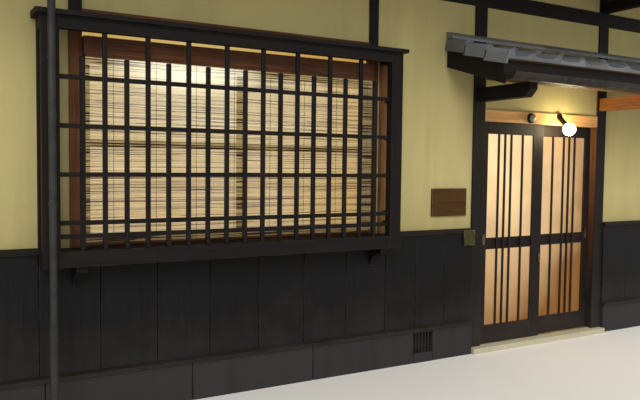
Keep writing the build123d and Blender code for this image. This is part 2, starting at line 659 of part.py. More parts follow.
def gutter(name, x, y, rim, wall):
    """Half-round gutter with closed ends, against a fascia whose face is at y."""
    lower = Pos(0, -GUTTER_RADIUS / 2) * Rectangle(2 * GUTTER_RADIUS, GUTTER_RADIUS)
    cap = Plane.YZ * (Circle(GUTTER_RADIUS) & lower)
    section = Plane.YZ * ((Circle(GUTTER_RADIUS) - Circle(GUTTER_RADIUS - GUTTER_WALL)) & lower)
    at = (y - GUTTER_RADIUS, rim)
    trough = extrude(Pos(x[0], *at) * section, amount=x[1] - x[0], dir=(1, 0, 0))
    for end in (x[0], x[1] - GUTTER_WALL):
        trough += extrude(Pos(end, *at) * cap, amount=GUTTER_WALL, dir=(1, 0, 0))
    add(name, trough, wall=wall)


def edge_boards(x, y, surface, pitch, board_low, drop, wall):
    """Verge boards at both ends of a slope, and the fascia between them at its rafters' feet."""
    inner = (x[0] + VERGE_BOARD, x[1] - VERGE_BOARD)
    for side in ((x[0], inner[0]), (inner[1], x[1])):
        verge = roof_layer(side, (y[0] - FASCIA, y[1]), surface, pitch, (board_low - VERGE_DROP, board_low))
        add("edge_boards", verge, wall=wall)
    clear = (inner[0] + BOARD_JOINT, inner[1] - BOARD_JOINT)
    fascia = roof_layer(clear, (y[0] - FASCIA, y[0]), surface, pitch, (-drop, board_low))
    add("edge_boards", fascia, wall=wall)


def roof_slope(name, x, rafter_x, y, surface, pitch, rafter, tiles, drop, wall):
    """One slope: rafters, boards, tiles and edge boards. Returns its levels above the surface."""
    levels = roof_levels(pitch, rafter[1], tiles)
    board_low, board_high, tile_high = levels
    places = spaced(rafter_x[0] + rafter[0] / 2, rafter_x[1] - rafter[0] / 2, RAFTER_PITCH)
    for at in places:
        timber = roof_layer(centred(at, rafter[0]), y, surface, pitch, (0, board_low))
        add(f"{name}_rafters", timber, wall=wall)
    board_y = (y[0] - FASCIA, y[1])
    tile_y = (y[0] - TILE_OVERHANG, y[1])
    add(f"{name}_boards", roof_layer(x, board_y, surface, pitch, (board_low, board_high)), wall=wall)
    add(f"{name}_tiles", roof_layer(x, tile_y, surface, pitch, (board_high, tile_high)), wall=wall)
    edge_boards(x, y, surface, pitch, board_low, drop, wall)
    return levels


def slope_gutter(name, x, y, surface, pitch, board_high, drop, wall):
    """The gutter below the tiles' edge. Returns its middle line, as y and the height of its rim."""
    rim = surface + pitch * (y - TILE_OVERHANG) + board_high - drop
    gutter(name, x, y - FASCIA, rim, wall)
    return y - FASCIA - GUTTER_RADIUS, rim


def eave_purlin(name, x, out, size, foot, surface, pitch, wall):
    """A beam on the arms, with its top cut to the slope of the rafters that it carries."""
    far, near = centred(-out, size[0])
    outline = [(far, foot), (near, foot), (near, surface + pitch * near), (far, surface + pitch * far)]
    add(name, along_x(outline, x), wall=wall)


def arms(name, row, reach, top, depth, wall):
    """Arms that stand out from the posts, with a slanted cut under the nose."""
    nose = depth / 2
    outline = [(0, top), (-reach, top), (-reach, top - nose), (nose - reach, top - depth), (0, top - depth)]
    for x, _ in row:
        add(name, along_x(outline, centred(x, ARM_WIDTH)), wall=wall)


def coping(x, surface, pitch, row, wall):
    """Strip that closes the joint between a low roof and the plaster, notched round the posts."""
    out, high = COPING
    outline = [(-out, surface - pitch * out), (0, surface), (PLASTER_SET_BACK, surface)]
    outline += [(PLASTER_SET_BACK, surface + high), (0, surface + high)]
    outline.append((-out, surface + high / 2 - pitch * out))
    strip = along_x(outline, x)
    for post in row:
        strip -= block(centred(*post), (0, PLASTER_SET_BACK), (surface, surface + high))
    add("roof_copings", strip, wall=wall)


def canopy():
    """Small tiled roof over the entrance, on arms that stand out from the posts."""
    levels = roof_levels(CANOPY_PITCH, CANOPY_RAFTER[1], CANOPY_TILES)
    surface = CANOPY_WALL_TOP - levels[2]
    x = (DOOR_OUTER[0] - CANOPY_LEFT_OVERHANG, END)
    inner_x = (x[0] + VERGE_BOARD, x[1] - VERGE_BOARD)
    y = (-CANOPY_PROJECTION, 0)
    roof_slope(
        "canopy", x, inner_x, y, surface, CANOPY_PITCH, CANOPY_RAFTER, CANOPY_TILES,
        CANOPY_FASCIA_DROP, FRONT_WALL,
    )
    slope_gutter(
        "canopy_gutter", x, y[0], surface, CANOPY_PITCH, levels[1], CANOPY_GUTTER_DROP, FRONT_WALL
    )
    reach = CANOPY_PURLIN_OUT + CANOPY_PURLIN[0] / 2
    foot = surface - CANOPY_PITCH * reach - CANOPY_PURLIN[1]
    eave_purlin(
        "canopy_purlin", inner_x, CANOPY_PURLIN_OUT, CANOPY_PURLIN, foot, surface, CANOPY_PITCH, FRONT_WALL
    )
    nose_reach = reach + CANOPY_ARM_DEPTH / 2
    arms("canopy_arms", FRONT_POSTS[3:], nose_reach, foot, CANOPY_ARM_DEPTH, FRONT_WALL)
    coping(x, CANOPY_WALL_TOP, CANOPY_PITCH, FRONT_POSTS, FRONT_WALL)


def lower_eave(row, wall):
    """Tiled eave between the storeys, on arms that stand on the floor beam. Returns its gutter line."""
    arm_top = FLOOR_BEAM_TOP + EAVE_ARM_DEPTH
    surface = EAVE_SURFACE
    x = (-END, END)
    inner_x = (x[0] + VERGE_BOARD, x[1] - VERGE_BOARD)
    y = (-EAVE_PROJECTION, 0)
    levels = roof_slope(
        "eave", x, inner_x, y, surface, EAVE_PITCH, EAVE_RAFTER, EAVE_TILES, EAVE_FASCIA_DROP, wall
    )
    arms("eave_arms", row, EAVE_REACH + EAVE_ARM_DEPTH / 2, arm_top, EAVE_ARM_DEPTH, wall)
    eave_purlin("eave_purlins", inner_x, EAVE_PURLIN_OUT, EAVE_PURLIN, arm_top, surface, EAVE_PITCH, wall)
    coping(x, surface + levels[2], EAVE_PITCH, row, wall)
    return slope_gutter("eave_gutters", x, y[0], surface, EAVE_PITCH, levels[1], EAVE_GUTTER_DROP, wall)


def main_roof():
    """Gabled roof with its ridge along the street: purlins, rafters, boards, tiles and ridge."""
    inner = END - PARTY_WALL
    edge = END + GABLE_OVERHANG
    y = (-ROOF_PROJECTION, DEPTH / 2 - RIDGE_JOINT / 2)
    for wall in (FRONT_WALL, BACK_WALL):
        levels = roof_slope(
            "roof", (-edge, edge), (-inner, inner), y, PLATE_TOP, ROOF_PITCH, ROOF_RAFTER, ROOF_TILES,
            ROOF_FASCIA_DROP, wall,
        )
        slope_gutter(
            "roof_gutters", (-edge, edge), y[0], PLATE_TOP, ROOF_PITCH, levels[1], ROOF_GUTTER_DROP, wall
        )
    roof_purlins(inner)
    add("roof_ridge", ridge(edge, PLATE_TOP + ROOF_PITCH * DEPTH / 2 + levels[2]))


def roof_purlins(inner):
    """Ridge beam and purlins, from party wall to party wall, under the rafters."""
    half = DEPTH / 2
    apex = PLATE_TOP + ROOF_PITCH * half
    wide, deep = RIDGE_BEAM
    shoulder = apex - ROOF_PITCH * wide / 2
    outline = [(-wide / 2, shoulder - deep), (wide / 2, shoulder - deep), (wide / 2, shoulder)]
    outline += [(0, apex), (-wide / 2, shoulder)]
    add("roof_purlins", along_x(outline, (-inner, inner)))
    for at in spaced(0, half, half / PURLIN_BAYS)[1:-1]:
        near, far = centred(at, wide)
        foot = apex - ROOF_PITCH * far - deep
        outline = [(near, foot), (far, foot), (far, foot + deep), (near, apex - ROOF_PITCH * near)]
        for side in (0, 180):
            add("roof_purlins", Rot(0, 0, side) * along_x(outline, (-inner, inner)))


def ridge(edge, apex):
    """Stacked ridge tiles under a round cap, with a plain end tile at each gable."""
    half = RIDGE_WIDTH / 2
    foot = apex - ROOF_PITCH * half
    top = apex + RIDGE_HEIGHT
    body = [(-half, foot), (0, apex), (half, foot), (RIDGE_CAP, top), (-RIDGE_CAP, top)]
    stack = along_x(body, (-edge, edge))
    stack += Pos(0, 0, top) * Rot(0, 90, 0) * Cylinder(RIDGE_CAP, 2 * edge)
    for start in (-edge - RIDGE_END, edge):
        stack += ridge_end(start, foot, top, half)
    return stack


def ridge_end(start, foot, top, half):
    """End tile with hollow sides and a rounded head."""
    head = RIDGE_HEAD
    outline = Line((-half, foot), (half, foot))
    outline += RadiusArc((half, foot), (head, top), RIDGE_HEIGHT)
    outline += RadiusArc((head, top), (-head, top), -head)
    outline += RadiusArc((-head, top), (-half, foot), RIDGE_HEIGHT)
    face = make_face(Plane.YZ * outline)
    return extrude(Pos(start, 0, 0) * face, amount=RIDGE_END, dir=(1, 0, 0))


# Small pieces on the street front


def name_boards():
    """A wide board on the plaster and a small plate on the dado rail, both bare."""
    wide, high, thick = NAME_BOARD
    right = DOOR_OUTER[0] - NAME_BOARD_FROM_POST
    y = (PLASTER_SET_BACK - thick, PLASTER_SET_BACK)
    board = block((right - wide, right), y, (NAME_BOARD_BOTTOM, NAME_BOARD_BOTTOM + high))
    add("name_boards", chamfer(board.faces().sort_by(Axis.Y)[0].edges(), NAME_BOARD_BEVEL), wall=FRONT_WALL)
    wide, high, thick = NOTICE
    x = (DOOR_OUTER[0] - wide, DOOR_OUTER[0])
    y = (-DADO_RAIL_PROUD - thick, -DADO_RAIL_PROUD)
    top = DADO_TOP - NOTICE_BELOW_RAIL_TOP
    add("name_boards", block(x, y, (top - high, top)), wall=FRONT_WALL)


def globe(neck_radius):
    """A globe about its own centre, turned from straight bands and flat where it sits on its neck."""
    low = -acos(neck_radius / GLOBE_RADIUS)
    angles = [low + (pi / 2 - low) * i / GLOBE_BANDS for i in range(GLOBE_BANDS)]
    points = [(GLOBE_RADIUS * cos(angle), GLOBE_RADIUS * sin(angle)) for angle in angles]
    outline = [(0, points[0][1])] + points + [(0, GLOBE_RADIUS)]
    return revolve(Plane.XZ * make_face(Polyline(*outline, close=True)), Axis.Z)


def entrance_lamps():
    """A globe on a slanting neck, and a small dome beside it, on the head of the entrance."""
    rose_radius, rose_depth = LAMP_ROSE
    neck_radius, neck = LAMP_NECK
    at = Pos(DOOR_SIDES[1] - LAMP_FROM_POST, 0, ENTRANCE_HEAD + LAMP_ABOVE_HEAD)
    slant = at * Rot(90 + LAMP_TILT, 0, 0)
    holder = at * Pos(0, -rose_depth / 2, 0) * Rot(90, 0, 0) * Cylinder(rose_radius, rose_depth)
    holder += slant * Pos(0, 0, neck / 2) * Cylinder(neck_radius, neck)
    holder -= at * Pos(0, rose_radius, 0) * Box(4 * rose_radius, 2 * rose_radius, 4 * rose_radius)
    add("lamp_holders", holder, wall=FRONT_WALL)
    seat = sqrt(GLOBE_RADIUS**2 - neck_radius**2)
    add("lamp_globes", slant * Pos(0, 0, neck + seat) * globe(neck_radius), wall=FRONT_WALL)
    face = Pos(DOOR_SIDES[1] - DOME_FROM_POST, 0, ENTRANCE_HEAD + DOME_ABOVE_HEAD) * Rot(90, 0, 0)
    base = face * Pos(0, 0, DOME_BASE / 2) * Cylinder(DOME_RADIUS, DOME_BASE)
    add("lamp_holders", base, wall=FRONT_WALL)
    dome = Pos(0, 0, DOME_PROUD / 2) * Cylinder(DOME_RADIUS - DOME_RIM, DOME_PROUD)
    dome = chamfer(dome.edges().sort_by(Axis.Z)[-1], DOME_BEVEL)
    add("lamp_globes", face * Pos(0, 0, DOME_BASE) * dome, wall=FRONT_WALL)


def downspout(gutter_line):
    """Rainwater pipe from the eave gutter to the ground, in front of the bay's left stile."""
    gutter_y, rim = gutter_line
    x = BAY_SIDES[0] + BAY_STILE / 2
    y = -BAY_PROJECTION - BAY_CAP_OVERHANG - PIPE_GAP - PIPE_RADIUS
    top = rim - GUTTER_RADIUS
    route = [(x - PIPE_SWAY, gutter_y, top), (x - PIPE_SWAY, gutter_y, top - PIPE_DROP)]
    route += [(x, y, PIPE_ELBOW_AT), (x, y, 0)]
    path = FilletPolyline(*route, radius=PIPE_BEND)
    pipe = sweep(Pos(*route[0]) * Circle(PIPE_RADIUS), path=path)
    sleeve, sleeve_top = PIPE_SLEEVE
    pipe += Pos(x, y, sleeve_top / 2) * Cylinder(sleeve, sleeve_top)
    add("downspout", pipe, wall=FRONT_WALL)
    thick, high = CLIP_BAND
    for z in CLIP_HEIGHTS:
        radius = (sleeve if z < sleeve_top else PIPE_RADIUS) + CLIP_FIT
        face = -DADO_BOARD if z < BAY_BOTTOM else -BAY_PROJECTION
        clip = Pos(x, y, z) * Cylinder(radius + thick, high)
        clip += block(centred(x, CLIP_STEM), (y, face), centred(z, CLIP_STEM))
        clip -= Pos(x, y, z) * Cylinder(radius, 2 * high)
        add("pipe_clips", clip, wall=FRONT_WALL)


def build():
    """Every piece of the house, from the ground up."""
    plinth()
    ground_sills()
    floors()
    timber_frame()
    plaster()
    party_walls()
    dado()
    bay_frame()
    bay_lattice()
    bay_brackets()
    bay_window()
    upper_windows()
    back_windows()
    entrance_frame()
    entrance_leaves()
    canopy()
    gutter_line = lower_eave(FRONT_POSTS, FRONT_WALL)
    lower_eave(BACK_POSTS, BACK_WALL)
    main_roof()
    name_boards()
    entrance_lamps()
    downspout(gutter_line)
    for name, solids in PIECES.items():
        export_step(Compound(solids), f"parts/{name}.step")


build()
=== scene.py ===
"""Looks of a machiya townhouse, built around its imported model.

Metres, Z up. X runs along the street front and the street is at -Y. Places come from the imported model, and
sizes that it doesn't give are named fields of the classes below.
"""

import logging
import math
import random
from collections.abc import Sequence
from dataclasses import dataclass, field
from enum import Enum
from functools import cache
from itertools import pairwise, product

import bmesh
import bpy
from mathutils import Matrix, Vector


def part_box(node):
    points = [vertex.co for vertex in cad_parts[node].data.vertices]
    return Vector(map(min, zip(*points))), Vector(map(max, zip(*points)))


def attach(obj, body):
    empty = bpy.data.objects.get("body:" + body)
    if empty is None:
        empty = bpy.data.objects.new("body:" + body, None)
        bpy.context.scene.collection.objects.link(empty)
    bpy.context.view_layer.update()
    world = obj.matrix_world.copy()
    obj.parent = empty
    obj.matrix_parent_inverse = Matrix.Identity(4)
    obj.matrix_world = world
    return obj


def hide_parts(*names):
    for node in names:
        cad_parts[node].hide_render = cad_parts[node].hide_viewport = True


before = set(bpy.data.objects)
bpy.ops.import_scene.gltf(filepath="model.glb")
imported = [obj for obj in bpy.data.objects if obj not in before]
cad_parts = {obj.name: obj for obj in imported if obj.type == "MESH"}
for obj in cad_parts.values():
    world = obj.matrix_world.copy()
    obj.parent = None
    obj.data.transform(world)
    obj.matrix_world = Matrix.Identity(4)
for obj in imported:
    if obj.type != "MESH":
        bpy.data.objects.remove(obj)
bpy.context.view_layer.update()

log = logging.getLogger("townhouse")

Colour = tuple[float, float, float]
Span = tuple[float, float]
Node = bpy.types.Node
Tree = bpy.types.NodeTree
Socket = bpy.types.NodeSocket
Feed = Socket | float | Sequence[float]
Setting = Tree | str | int

TONE = "tone"  # the mesh attribute that gives each shape of a piece a tone, from -0.5 to 0.5
SOFT_EDGE = math.radians(38)  # faces that meet at less than this are shaded smooth
NEEDLE = 1e-5  # the radius that stands for a point on the axis of a turned solid
MIDDLE = (0.3, 0.7)  # the range that most of a noise's values lie in
FULL = (0.0, 1.0)
BLUR = 0.01  # how far a change of light is spread
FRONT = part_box("posts")[0].y  # outer face of the front posts
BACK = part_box("posts")[1].y


def paint(red: int, green: int, blue: int) -> Colour:
    """A colour written in 0 to 255 steps, as the linear values that shaders take.

    Args:
        red: its red.
        green: its green.
        blue: its blue.

    Returns:
        The linear colour.
    """
    steps = (red / 255, green / 255, blue / 255)
    return tuple(((step + 0.055) / 1.055) ** 2.4 if step > 0.04045 else step / 12.92 for step in steps)


def opaque(colour: Colour) -> tuple[float, ...]:
    """The colour with an alpha of 1."""
    return (*colour, 1.0)


def darker(colour: Colour, share: float) -> tuple[float, ...]:
    """The colour at a share of its brightness, with an alpha of 1."""
    return opaque(tuple(part * share for part in colour))


def evenly(low: float, high: float, pitch: float) -> list[float]:
    """Marks from low to high in equal steps.

    Args:
        low: the first mark.
        high: the last mark.
        pitch: about how far apart the marks are.

    Returns:
        The marks, both ends among them.
    """
    steps = max(1, round((high - low) / pitch))
    return [low + (high - low) * i / steps for i in range(steps + 1)]


class Body(Enum):
    """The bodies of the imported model."""

    HOUSE = "house"
    LEFT_LEAF = "left_leaf"
    RIGHT_LEAF = "right_leaf"


class Grain(Enum):
    """Which way a timber's grain runs, as how much its pattern is packed along each axis."""

    UPRIGHT = (34.0, 34.0, 1.6)
    ALONG_STREET = (1.6, 34.0, 34.0)
    INTO_HOUSE = (34.0, 1.6, 34.0)


# Node trees


class Wiring:
    """A node tree that is filled by short calls."""

    SHARE, FIRST, SECOND, MIXED = 0, 6, 7, 2  # a Mix node's sockets for colours
    AMOUNT = 3  # a Vector Math node's socket for a number

    def __init__(self, tree: Tree) -> None:
        """Takes the tree that the calls fill."""
        self.tree = tree

    def feed(self, socket: Socket, value: Feed) -> None:
        """Gives an input its value.

        Args:
            socket: the input.
            value: another node's output, which is linked to it, or a plain value.
        """
        if isinstance(value, Socket):
            self.tree.links.new(value, socket)
        else:
            socket.default_value = value

    def node(self, kind: str, feeds: dict[str | int, Feed] | None = None, **settings: Setting) -> Node:
        """Adds a node.

        Args:
            kind: the node's type.
            feeds: what its input sockets take, by name or by place.
            **settings: the node's own properties.

        Returns:
            The node.
        """
        made = self.tree.nodes.new(kind)
        for name, value in settings.items():
            setattr(made, name, value)
        for key, value in (feeds or {}).items():
            self.feed(made.inputs[key], value)
        return made

    def maths(self, operation: str, first: Feed, second: Feed = 0.0) -> Socket:
        """The result of a Math node."""
        return self.node("ShaderNodeMath", {0: first, 1: second}, operation=operation).outputs[0]

    def times(self, first: Feed, second: Feed) -> Socket:
        """The product of two numbers."""
        return self.maths("MULTIPLY", first, second)

    def vectors(self, operation: str, feeds: dict[str | int, Feed]) -> Node:
        """Adds a Vector Math node."""
        return self.node("ShaderNodeVectorMath", feeds, operation=operation)

    def scaled(self, vector: Feed, amount: Feed) -> Socket:
        """A vector or a colour multiplied by one number."""
        return self.vectors("SCALE", {0: vector, self.AMOUNT: amount}).outputs[0]

    def packed(self, vector: Feed, amounts: Sequence[float]) -> Socket:
        """A vector multiplied axis by axis."""
        return self.vectors("MULTIPLY", {0: vector, 1: amounts}).outputs[0]

    def from_point(self, vector: Feed, point: Sequence[float]) -> Socket:
        """A place as it is seen from a point."""
        return self.vectors("SUBTRACT", {0: vector, 1: point}).outputs[0]

    def length(self, vector: Feed) -> Socket:
        """The length of a vector."""
        return self.vectors("LENGTH", {0: vector}).outputs["Value"]

    def mix(self, share: Feed, first: Feed, second: Feed, how: str = "MIX") -> Socket:
        """Two colours mixed.

        Args:
            share: how much of the second colour there is, from 0 to 1.
            first: the colour at a share of 0.
            second: the colour at a share of 1.
            how: the way of mixing.

        Returns:
            The mixed colour's socket.
        """
        feeds = {self.SHARE: share, self.FIRST: first, self.SECOND: second}
        return self.node("ShaderNodeMix", feeds, data_type="RGBA", blend_type=how).outputs[self.MIXED]

    def noise(self, vector: Feed, scale: float, detail: float = 4.0, swirl: float = 0.0) -> Socket:
        """The value of a Noise Texture."""
        feeds = {"Vector": vector, "Scale": scale, "Detail": detail, "Distortion": swirl}
        return self.node("ShaderNodeTexNoise", feeds).outputs[0]

    def remap(self, value: Feed, source: Span, target: Span = FULL) -> Socket:
        """A value moved from one range to another, and held inside it."""
        feeds = {"Value": value, "From Min": source[0], "From Max": source[1]}
        feeds |= {"To Min": target[0], "To Max": target[1]}
        return self.node("ShaderNodeMapRange", feeds).outputs[0]

    def place(self) -> Socket:
        """The point on the object, in its own frame."""
        return self.node("ShaderNodeTexCoord").outputs["Object"]

    def along(self, vector: Feed, axis: str) -> Socket:
        """One coordinate of a vector."""
        return self.node("ShaderNodeSeparateXYZ", {0: vector}).outputs[axis]

    def effect(self, group: Tree, **feeds: Feed) -> Node:
        """Places one of the shared effects, with what its inputs take by name."""
        return self.node("ShaderNodeGroup", feeds, node_tree=group)


class Effects:
    """Shader node groups that several finishes share, each built at its first use."""

    FLOAT = "NodeSocketFloat"
    COLOUR = "NodeSocketColor"
    VECTOR = "NodeSocketVector"

    STREAKS = 0.62  # how much of the grain is streaks; the rest is fibres
    TONED = (0.36, 0.64)  # the part of the grain that runs from the dark tone to the light one
    GRAINS = 0.6  # how much of the grit is grains; the rest is waves
    GRAINY = (0.38, 0.62)  # the part of the grains that the mask shows
    WORN_TURN = (0.995, 0.86)  # how squarely an edge faces, from untouched to fully rubbed
    WORN_PARTS = (0.4, 0.62)  # the part of a noise that breaks the wear up
    RAGGED = (-0.5, 0.5)  # how far the upper edge of splashes strays, as a share of their height
    RUN_SHAPE = (9.0, 9.0, 0.7)  # how much the pattern of rain runs is packed along each axis
    RUN_PARTS = (0.42, 0.72)  # the part of that pattern that is a run
    RUN_CLOUDS = (0.35, 0.65)  # the part of a wider noise that lets runs show

    @staticmethod
    def start(
        name: str, takes: dict[str, str], gives: dict[str, str]
    ) -> tuple[Wiring, Sequence[Socket], Sequence[Socket]]:
        """Makes an empty group with its sockets.

        Args:
            name: the group's name.
            takes: the kinds of its inputs, by name.
            gives: the kinds of its outputs, by name.

        Returns:
            The wiring of the group, the sockets that its inputs come from and those that its outputs go to.
        """
        tree = bpy.data.node_groups.new(name, "ShaderNodeTree")
        for label, kind in takes.items():
            tree.interface.new_socket(name=label, in_out="INPUT", socket_type=kind)
        for label, kind in gives.items():
            tree.interface.new_socket(name=label, in_out="OUTPUT", socket_type=kind)
        wiring = Wiring(tree)
        source = wiring.node("NodeGroupInput").outputs
        target = wiring.node("NodeGroupOutput").inputs
        return wiring, source, target

    @staticmethod
    @cache
    def wood_grain() -> Tree:
        """Streaks and fibres of planed timber, in two tones.

        Returns:
            The group.
        """
        takes = {"Vector": Effects.VECTOR, "Light": Effects.COLOUR, "Dark": Effects.COLOUR}
        gives = {"Colour": Effects.COLOUR, "Height": Effects.FLOAT}
        w, source, target = Effects.start("wood_grain", takes, gives)
        streaks = w.noise(source["Vector"], scale=1.0, detail=3.0, swirl=0.7)
        fibres = w.noise(source["Vector"], scale=7.0, detail=4.0, swirl=0.2)
        pattern = w.maths("ADD", w.times(streaks, Effects.STREAKS), w.times(fibres, 1 - Effects.STREAKS))
        w.feed(target["Colour"], w.mix(w.remap(pattern, Effects.TONED), source["Dark"], source["Light"]))
        w.feed(target["Height"], pattern)
        return w.tree

    @staticmethod
    @cache
    def edge_wear() -> Tree:
        """A broken mask along sharp edges, where hands and weather have rubbed.

        Returns:
            The group.
        """
        takes = {"Reach": Effects.FLOAT, "Vector": Effects.VECTOR}
        w, source, target = Effects.start("edge_wear", takes, {"Mask": Effects.FLOAT})
        rounded = w.node("ShaderNodeBevel", {"Radius": source["Reach"]}, samples=4).outputs[0]
        plain = w.node("ShaderNodeNewGeometry").outputs["Normal"]
        turn = w.vectors("DOT_PRODUCT", {0: rounded, 1: plain}).outputs["Value"]
        breaks = w.remap(w.noise(source["Vector"], scale=14.0, detail=3.0), Effects.WORN_PARTS)
        w.feed(target["Mask"], w.times(w.remap(turn, Effects.WORN_TURN), breaks))
        return w.tree

    @staticmethod
    @cache
    def ground_splash() -> Tree:
        """A mask of dust and splashed rain that fades with the height above the ground.

        Returns:
            The group.
        """
        takes = {"Vector": Effects.VECTOR, "Reach": Effects.FLOAT}
        w, source, target = Effects.start("ground_splash", takes, {"Mask": Effects.FLOAT})
        height = w.maths("DIVIDE", w.along(source["Vector"], "Z"), source["Reach"])
        ragged = w.remap(w.noise(source["Vector"], scale=5.0, detail=5.0), FULL, Effects.RAGGED)
        w.feed(target["Mask"], w.remap(w.maths("ADD", height, ragged), (1.0, 0.0)))
        return w.tree

    @staticmethod
    @cache
    def rain_runs() -> Tree:
        """Faint upright runs that rain has left.

        Returns:
            The group.
        """
        w, source, target = Effects.start("rain_runs", {"Vector": Effects.VECTOR}, {"Mask": Effects.FLOAT})
        runs = w.noise(w.packed(source["Vector"], Effects.RUN_SHAPE), scale=1.0, detail=5.0, swirl=0.3)
        clouds = w.noise(source["Vector"], scale=0.9, detail=3.0)
        shown = w.remap(clouds, Effects.RUN_CLOUDS)
        w.feed(target["Mask"], w.times(w.remap(runs, Effects.RUN_PARTS), shown))
        return w.tree

    @staticmethod
    @cache
    def grit() -> Tree:
        """Fine grains and wider unevenness of plaster, stone and fired clay.

        Returns:
            The group.
        """
        takes = {"Vector": Effects.VECTOR, "Fineness": Effects.FLOAT}
        gives = {"Height": Effects.FLOAT, "Mask": Effects.FLOAT}
        w, source, target = Effects.start("grit", takes, gives)
        grains = w.noise(w.scaled(source["Vector"], source["Fineness"]), scale=1.0, detail=6.0)
        waves = w.noise(source["Vector"], scale=3.0, detail=2.0)
        height = w.maths("ADD", w.times(grains, Effects.GRAINS), w.times(waves, 1 - Effects.GRAINS))
        w.feed(target["Height"], height)
        w.feed(target["Mask"], w.remap(grains, Effects.GRAINY))
        return w.tree

    @staticmethod
    @cache
    def own_tone() -> Tree:
        """A shade about 1 for each board, stone or reed, from the tone that its shape was made with.

        Returns:
            The group.
        """
        w, source, target = Effects.start("own_tone", {"Spread": Effects.FLOAT}, {"Shade": Effects.FLOAT})
        tone = w.node("ShaderNodeAttribute", attribute_name=TONE).outputs["Fac"]
        w.feed(target["Shade"], w.maths("ADD", w.times(tone, source["Spread"]), 1.0))
        return w.tree

    @staticmethod
    @cache
    def tile_tone() -> Tree:
        """A tone from 0 to 1 for each tile of a sheet of equal tiles.

        Returns:
            The group.
        """
        takes = {"Vector": Effects.VECTOR, "Pitch": Effects.VECTOR}
        w, source, target = Effects.start("tile_tone", takes, {"Tone": Effects.FLOAT})
        counted = w.vectors("DIVIDE", {0: source["Vector"], 1: source["Pitch"]}).outputs[0]
        whole = w.vectors("FLOOR", {0: counted}).outputs[0]
        w.feed(target["Tone"], w.node("ShaderNodeTexWhiteNoise", {"Vector": whole}).outputs["Value"])
        return w.tree


# Finishes


@dataclass(frozen=True)
class Finish:
    """A surface finish, made into one material at its first use."""

    name: str

    @cache
    def material(self) -> bpy.types.Material:
        """The finish's material.

        Returns:
            The material, the same one at each call.
        """
        made = bpy.data.materials.new(self.name)
        made.use_nodes = True
        made.node_tree.nodes.clear()
        w = Wiring(made.node_tree)
        shader = w.node("ShaderNodeBsdfPrincipled")
        w.node("ShaderNodeOutputMaterial", {"Surface": shader.outputs[0]})
        self.wire(w, shader)
        return made

    def wire(self, w: Wiring, shader: Node) -> None:
        """Fills the material.

        Args:
            w: the wiring of the material.
            shader: its Principled BSDF.
        """
        raise NotImplementedError

    @staticmethod
    def raise_by(w: Wiring, shader: Node, height: Feed, strength: float, depth: float) -> None:
        """Gives the surface its relief.

        Args:
            w: the wiring of the material.
            shader: its Principled BSDF.
            height: the pattern's height, from 0 to 1.
            strength: how strongly it shows.
            depth: the real depth of the pattern.
        """
        bump = w.node("ShaderNodeBump", {"Height": height, "Strength": strength, "Distance": depth})
        w.feed(shader.inputs["Normal"], bump.outputs[0])


@dataclass(frozen=True)
class Timber(Finish):
    """Planed and weathered timber."""

    light: Colour
    dark: Colour
    grain: Grain
    worn: Colour = paint(96, 84, 72)
    wear: float = 0.35
    roughness: float = 0.62
    splash: float = 0.6  # how high the rain throws dust up it
    dust: Colour = paint(112, 106, 96)
    dusty: float = 0.1
    gloss: float = 0.14

    BOARD_SPREAD = 0.4  # how much the boards of a piece differ in tone
    RUBBED = 0.006  # how far in from an edge it is rubbed
    ROUGH_SPREAD = (-0.12, 0.14)
    FIBRES = (0.5, 0.0025)  # how strongly the fibres show, and how deep they are

    def tones(self, w: Wiring, place: Socket) -> tuple[Feed, Feed]:
        """The light and dark tones of the grain."""
        return opaque(self.light), opaque(self.dark)

    def wire(self, w: Wiring, shader: Node) -> None:
        """Grain, a shade for each board, worn edges and dust near the ground.

        Args:
            w: the wiring of the material.
            shader: its Principled BSDF.
        """
        place = w.place()
        light, dark = self.tones(w, place)
        feeds = {"Vector": w.packed(place, self.grain.value), "Light": light, "Dark": dark}
        grain = w.effect(Effects.wood_grain(), **feeds)
        shade = w.effect(Effects.own_tone(), Spread=self.BOARD_SPREAD).outputs[0]
        toned = w.scaled(grain.outputs["Colour"], shade)
        edge = w.effect(Effects.edge_wear(), Reach=self.RUBBED, Vector=place).outputs[0]
        rubbed = w.mix(w.times(edge, self.wear), toned, opaque(self.worn))
        splash = w.effect(Effects.ground_splash(), Vector=place, Reach=self.splash).outputs[0]
        w.feed(shader.inputs["Base Color"], w.mix(w.times(splash, self.dusty), rubbed, opaque(self.dust)))
        spread = tuple(self.roughness + part for part in self.ROUGH_SPREAD)
        w.feed(shader.inputs["Roughness"], w.remap(grain.outputs["Height"], MIDDLE, spread))
        shader.inputs["Specular IOR Level"].default_value = self.gloss
        self.raise_by(w, shader, grain.outputs["Height"], *self.FIBRES)


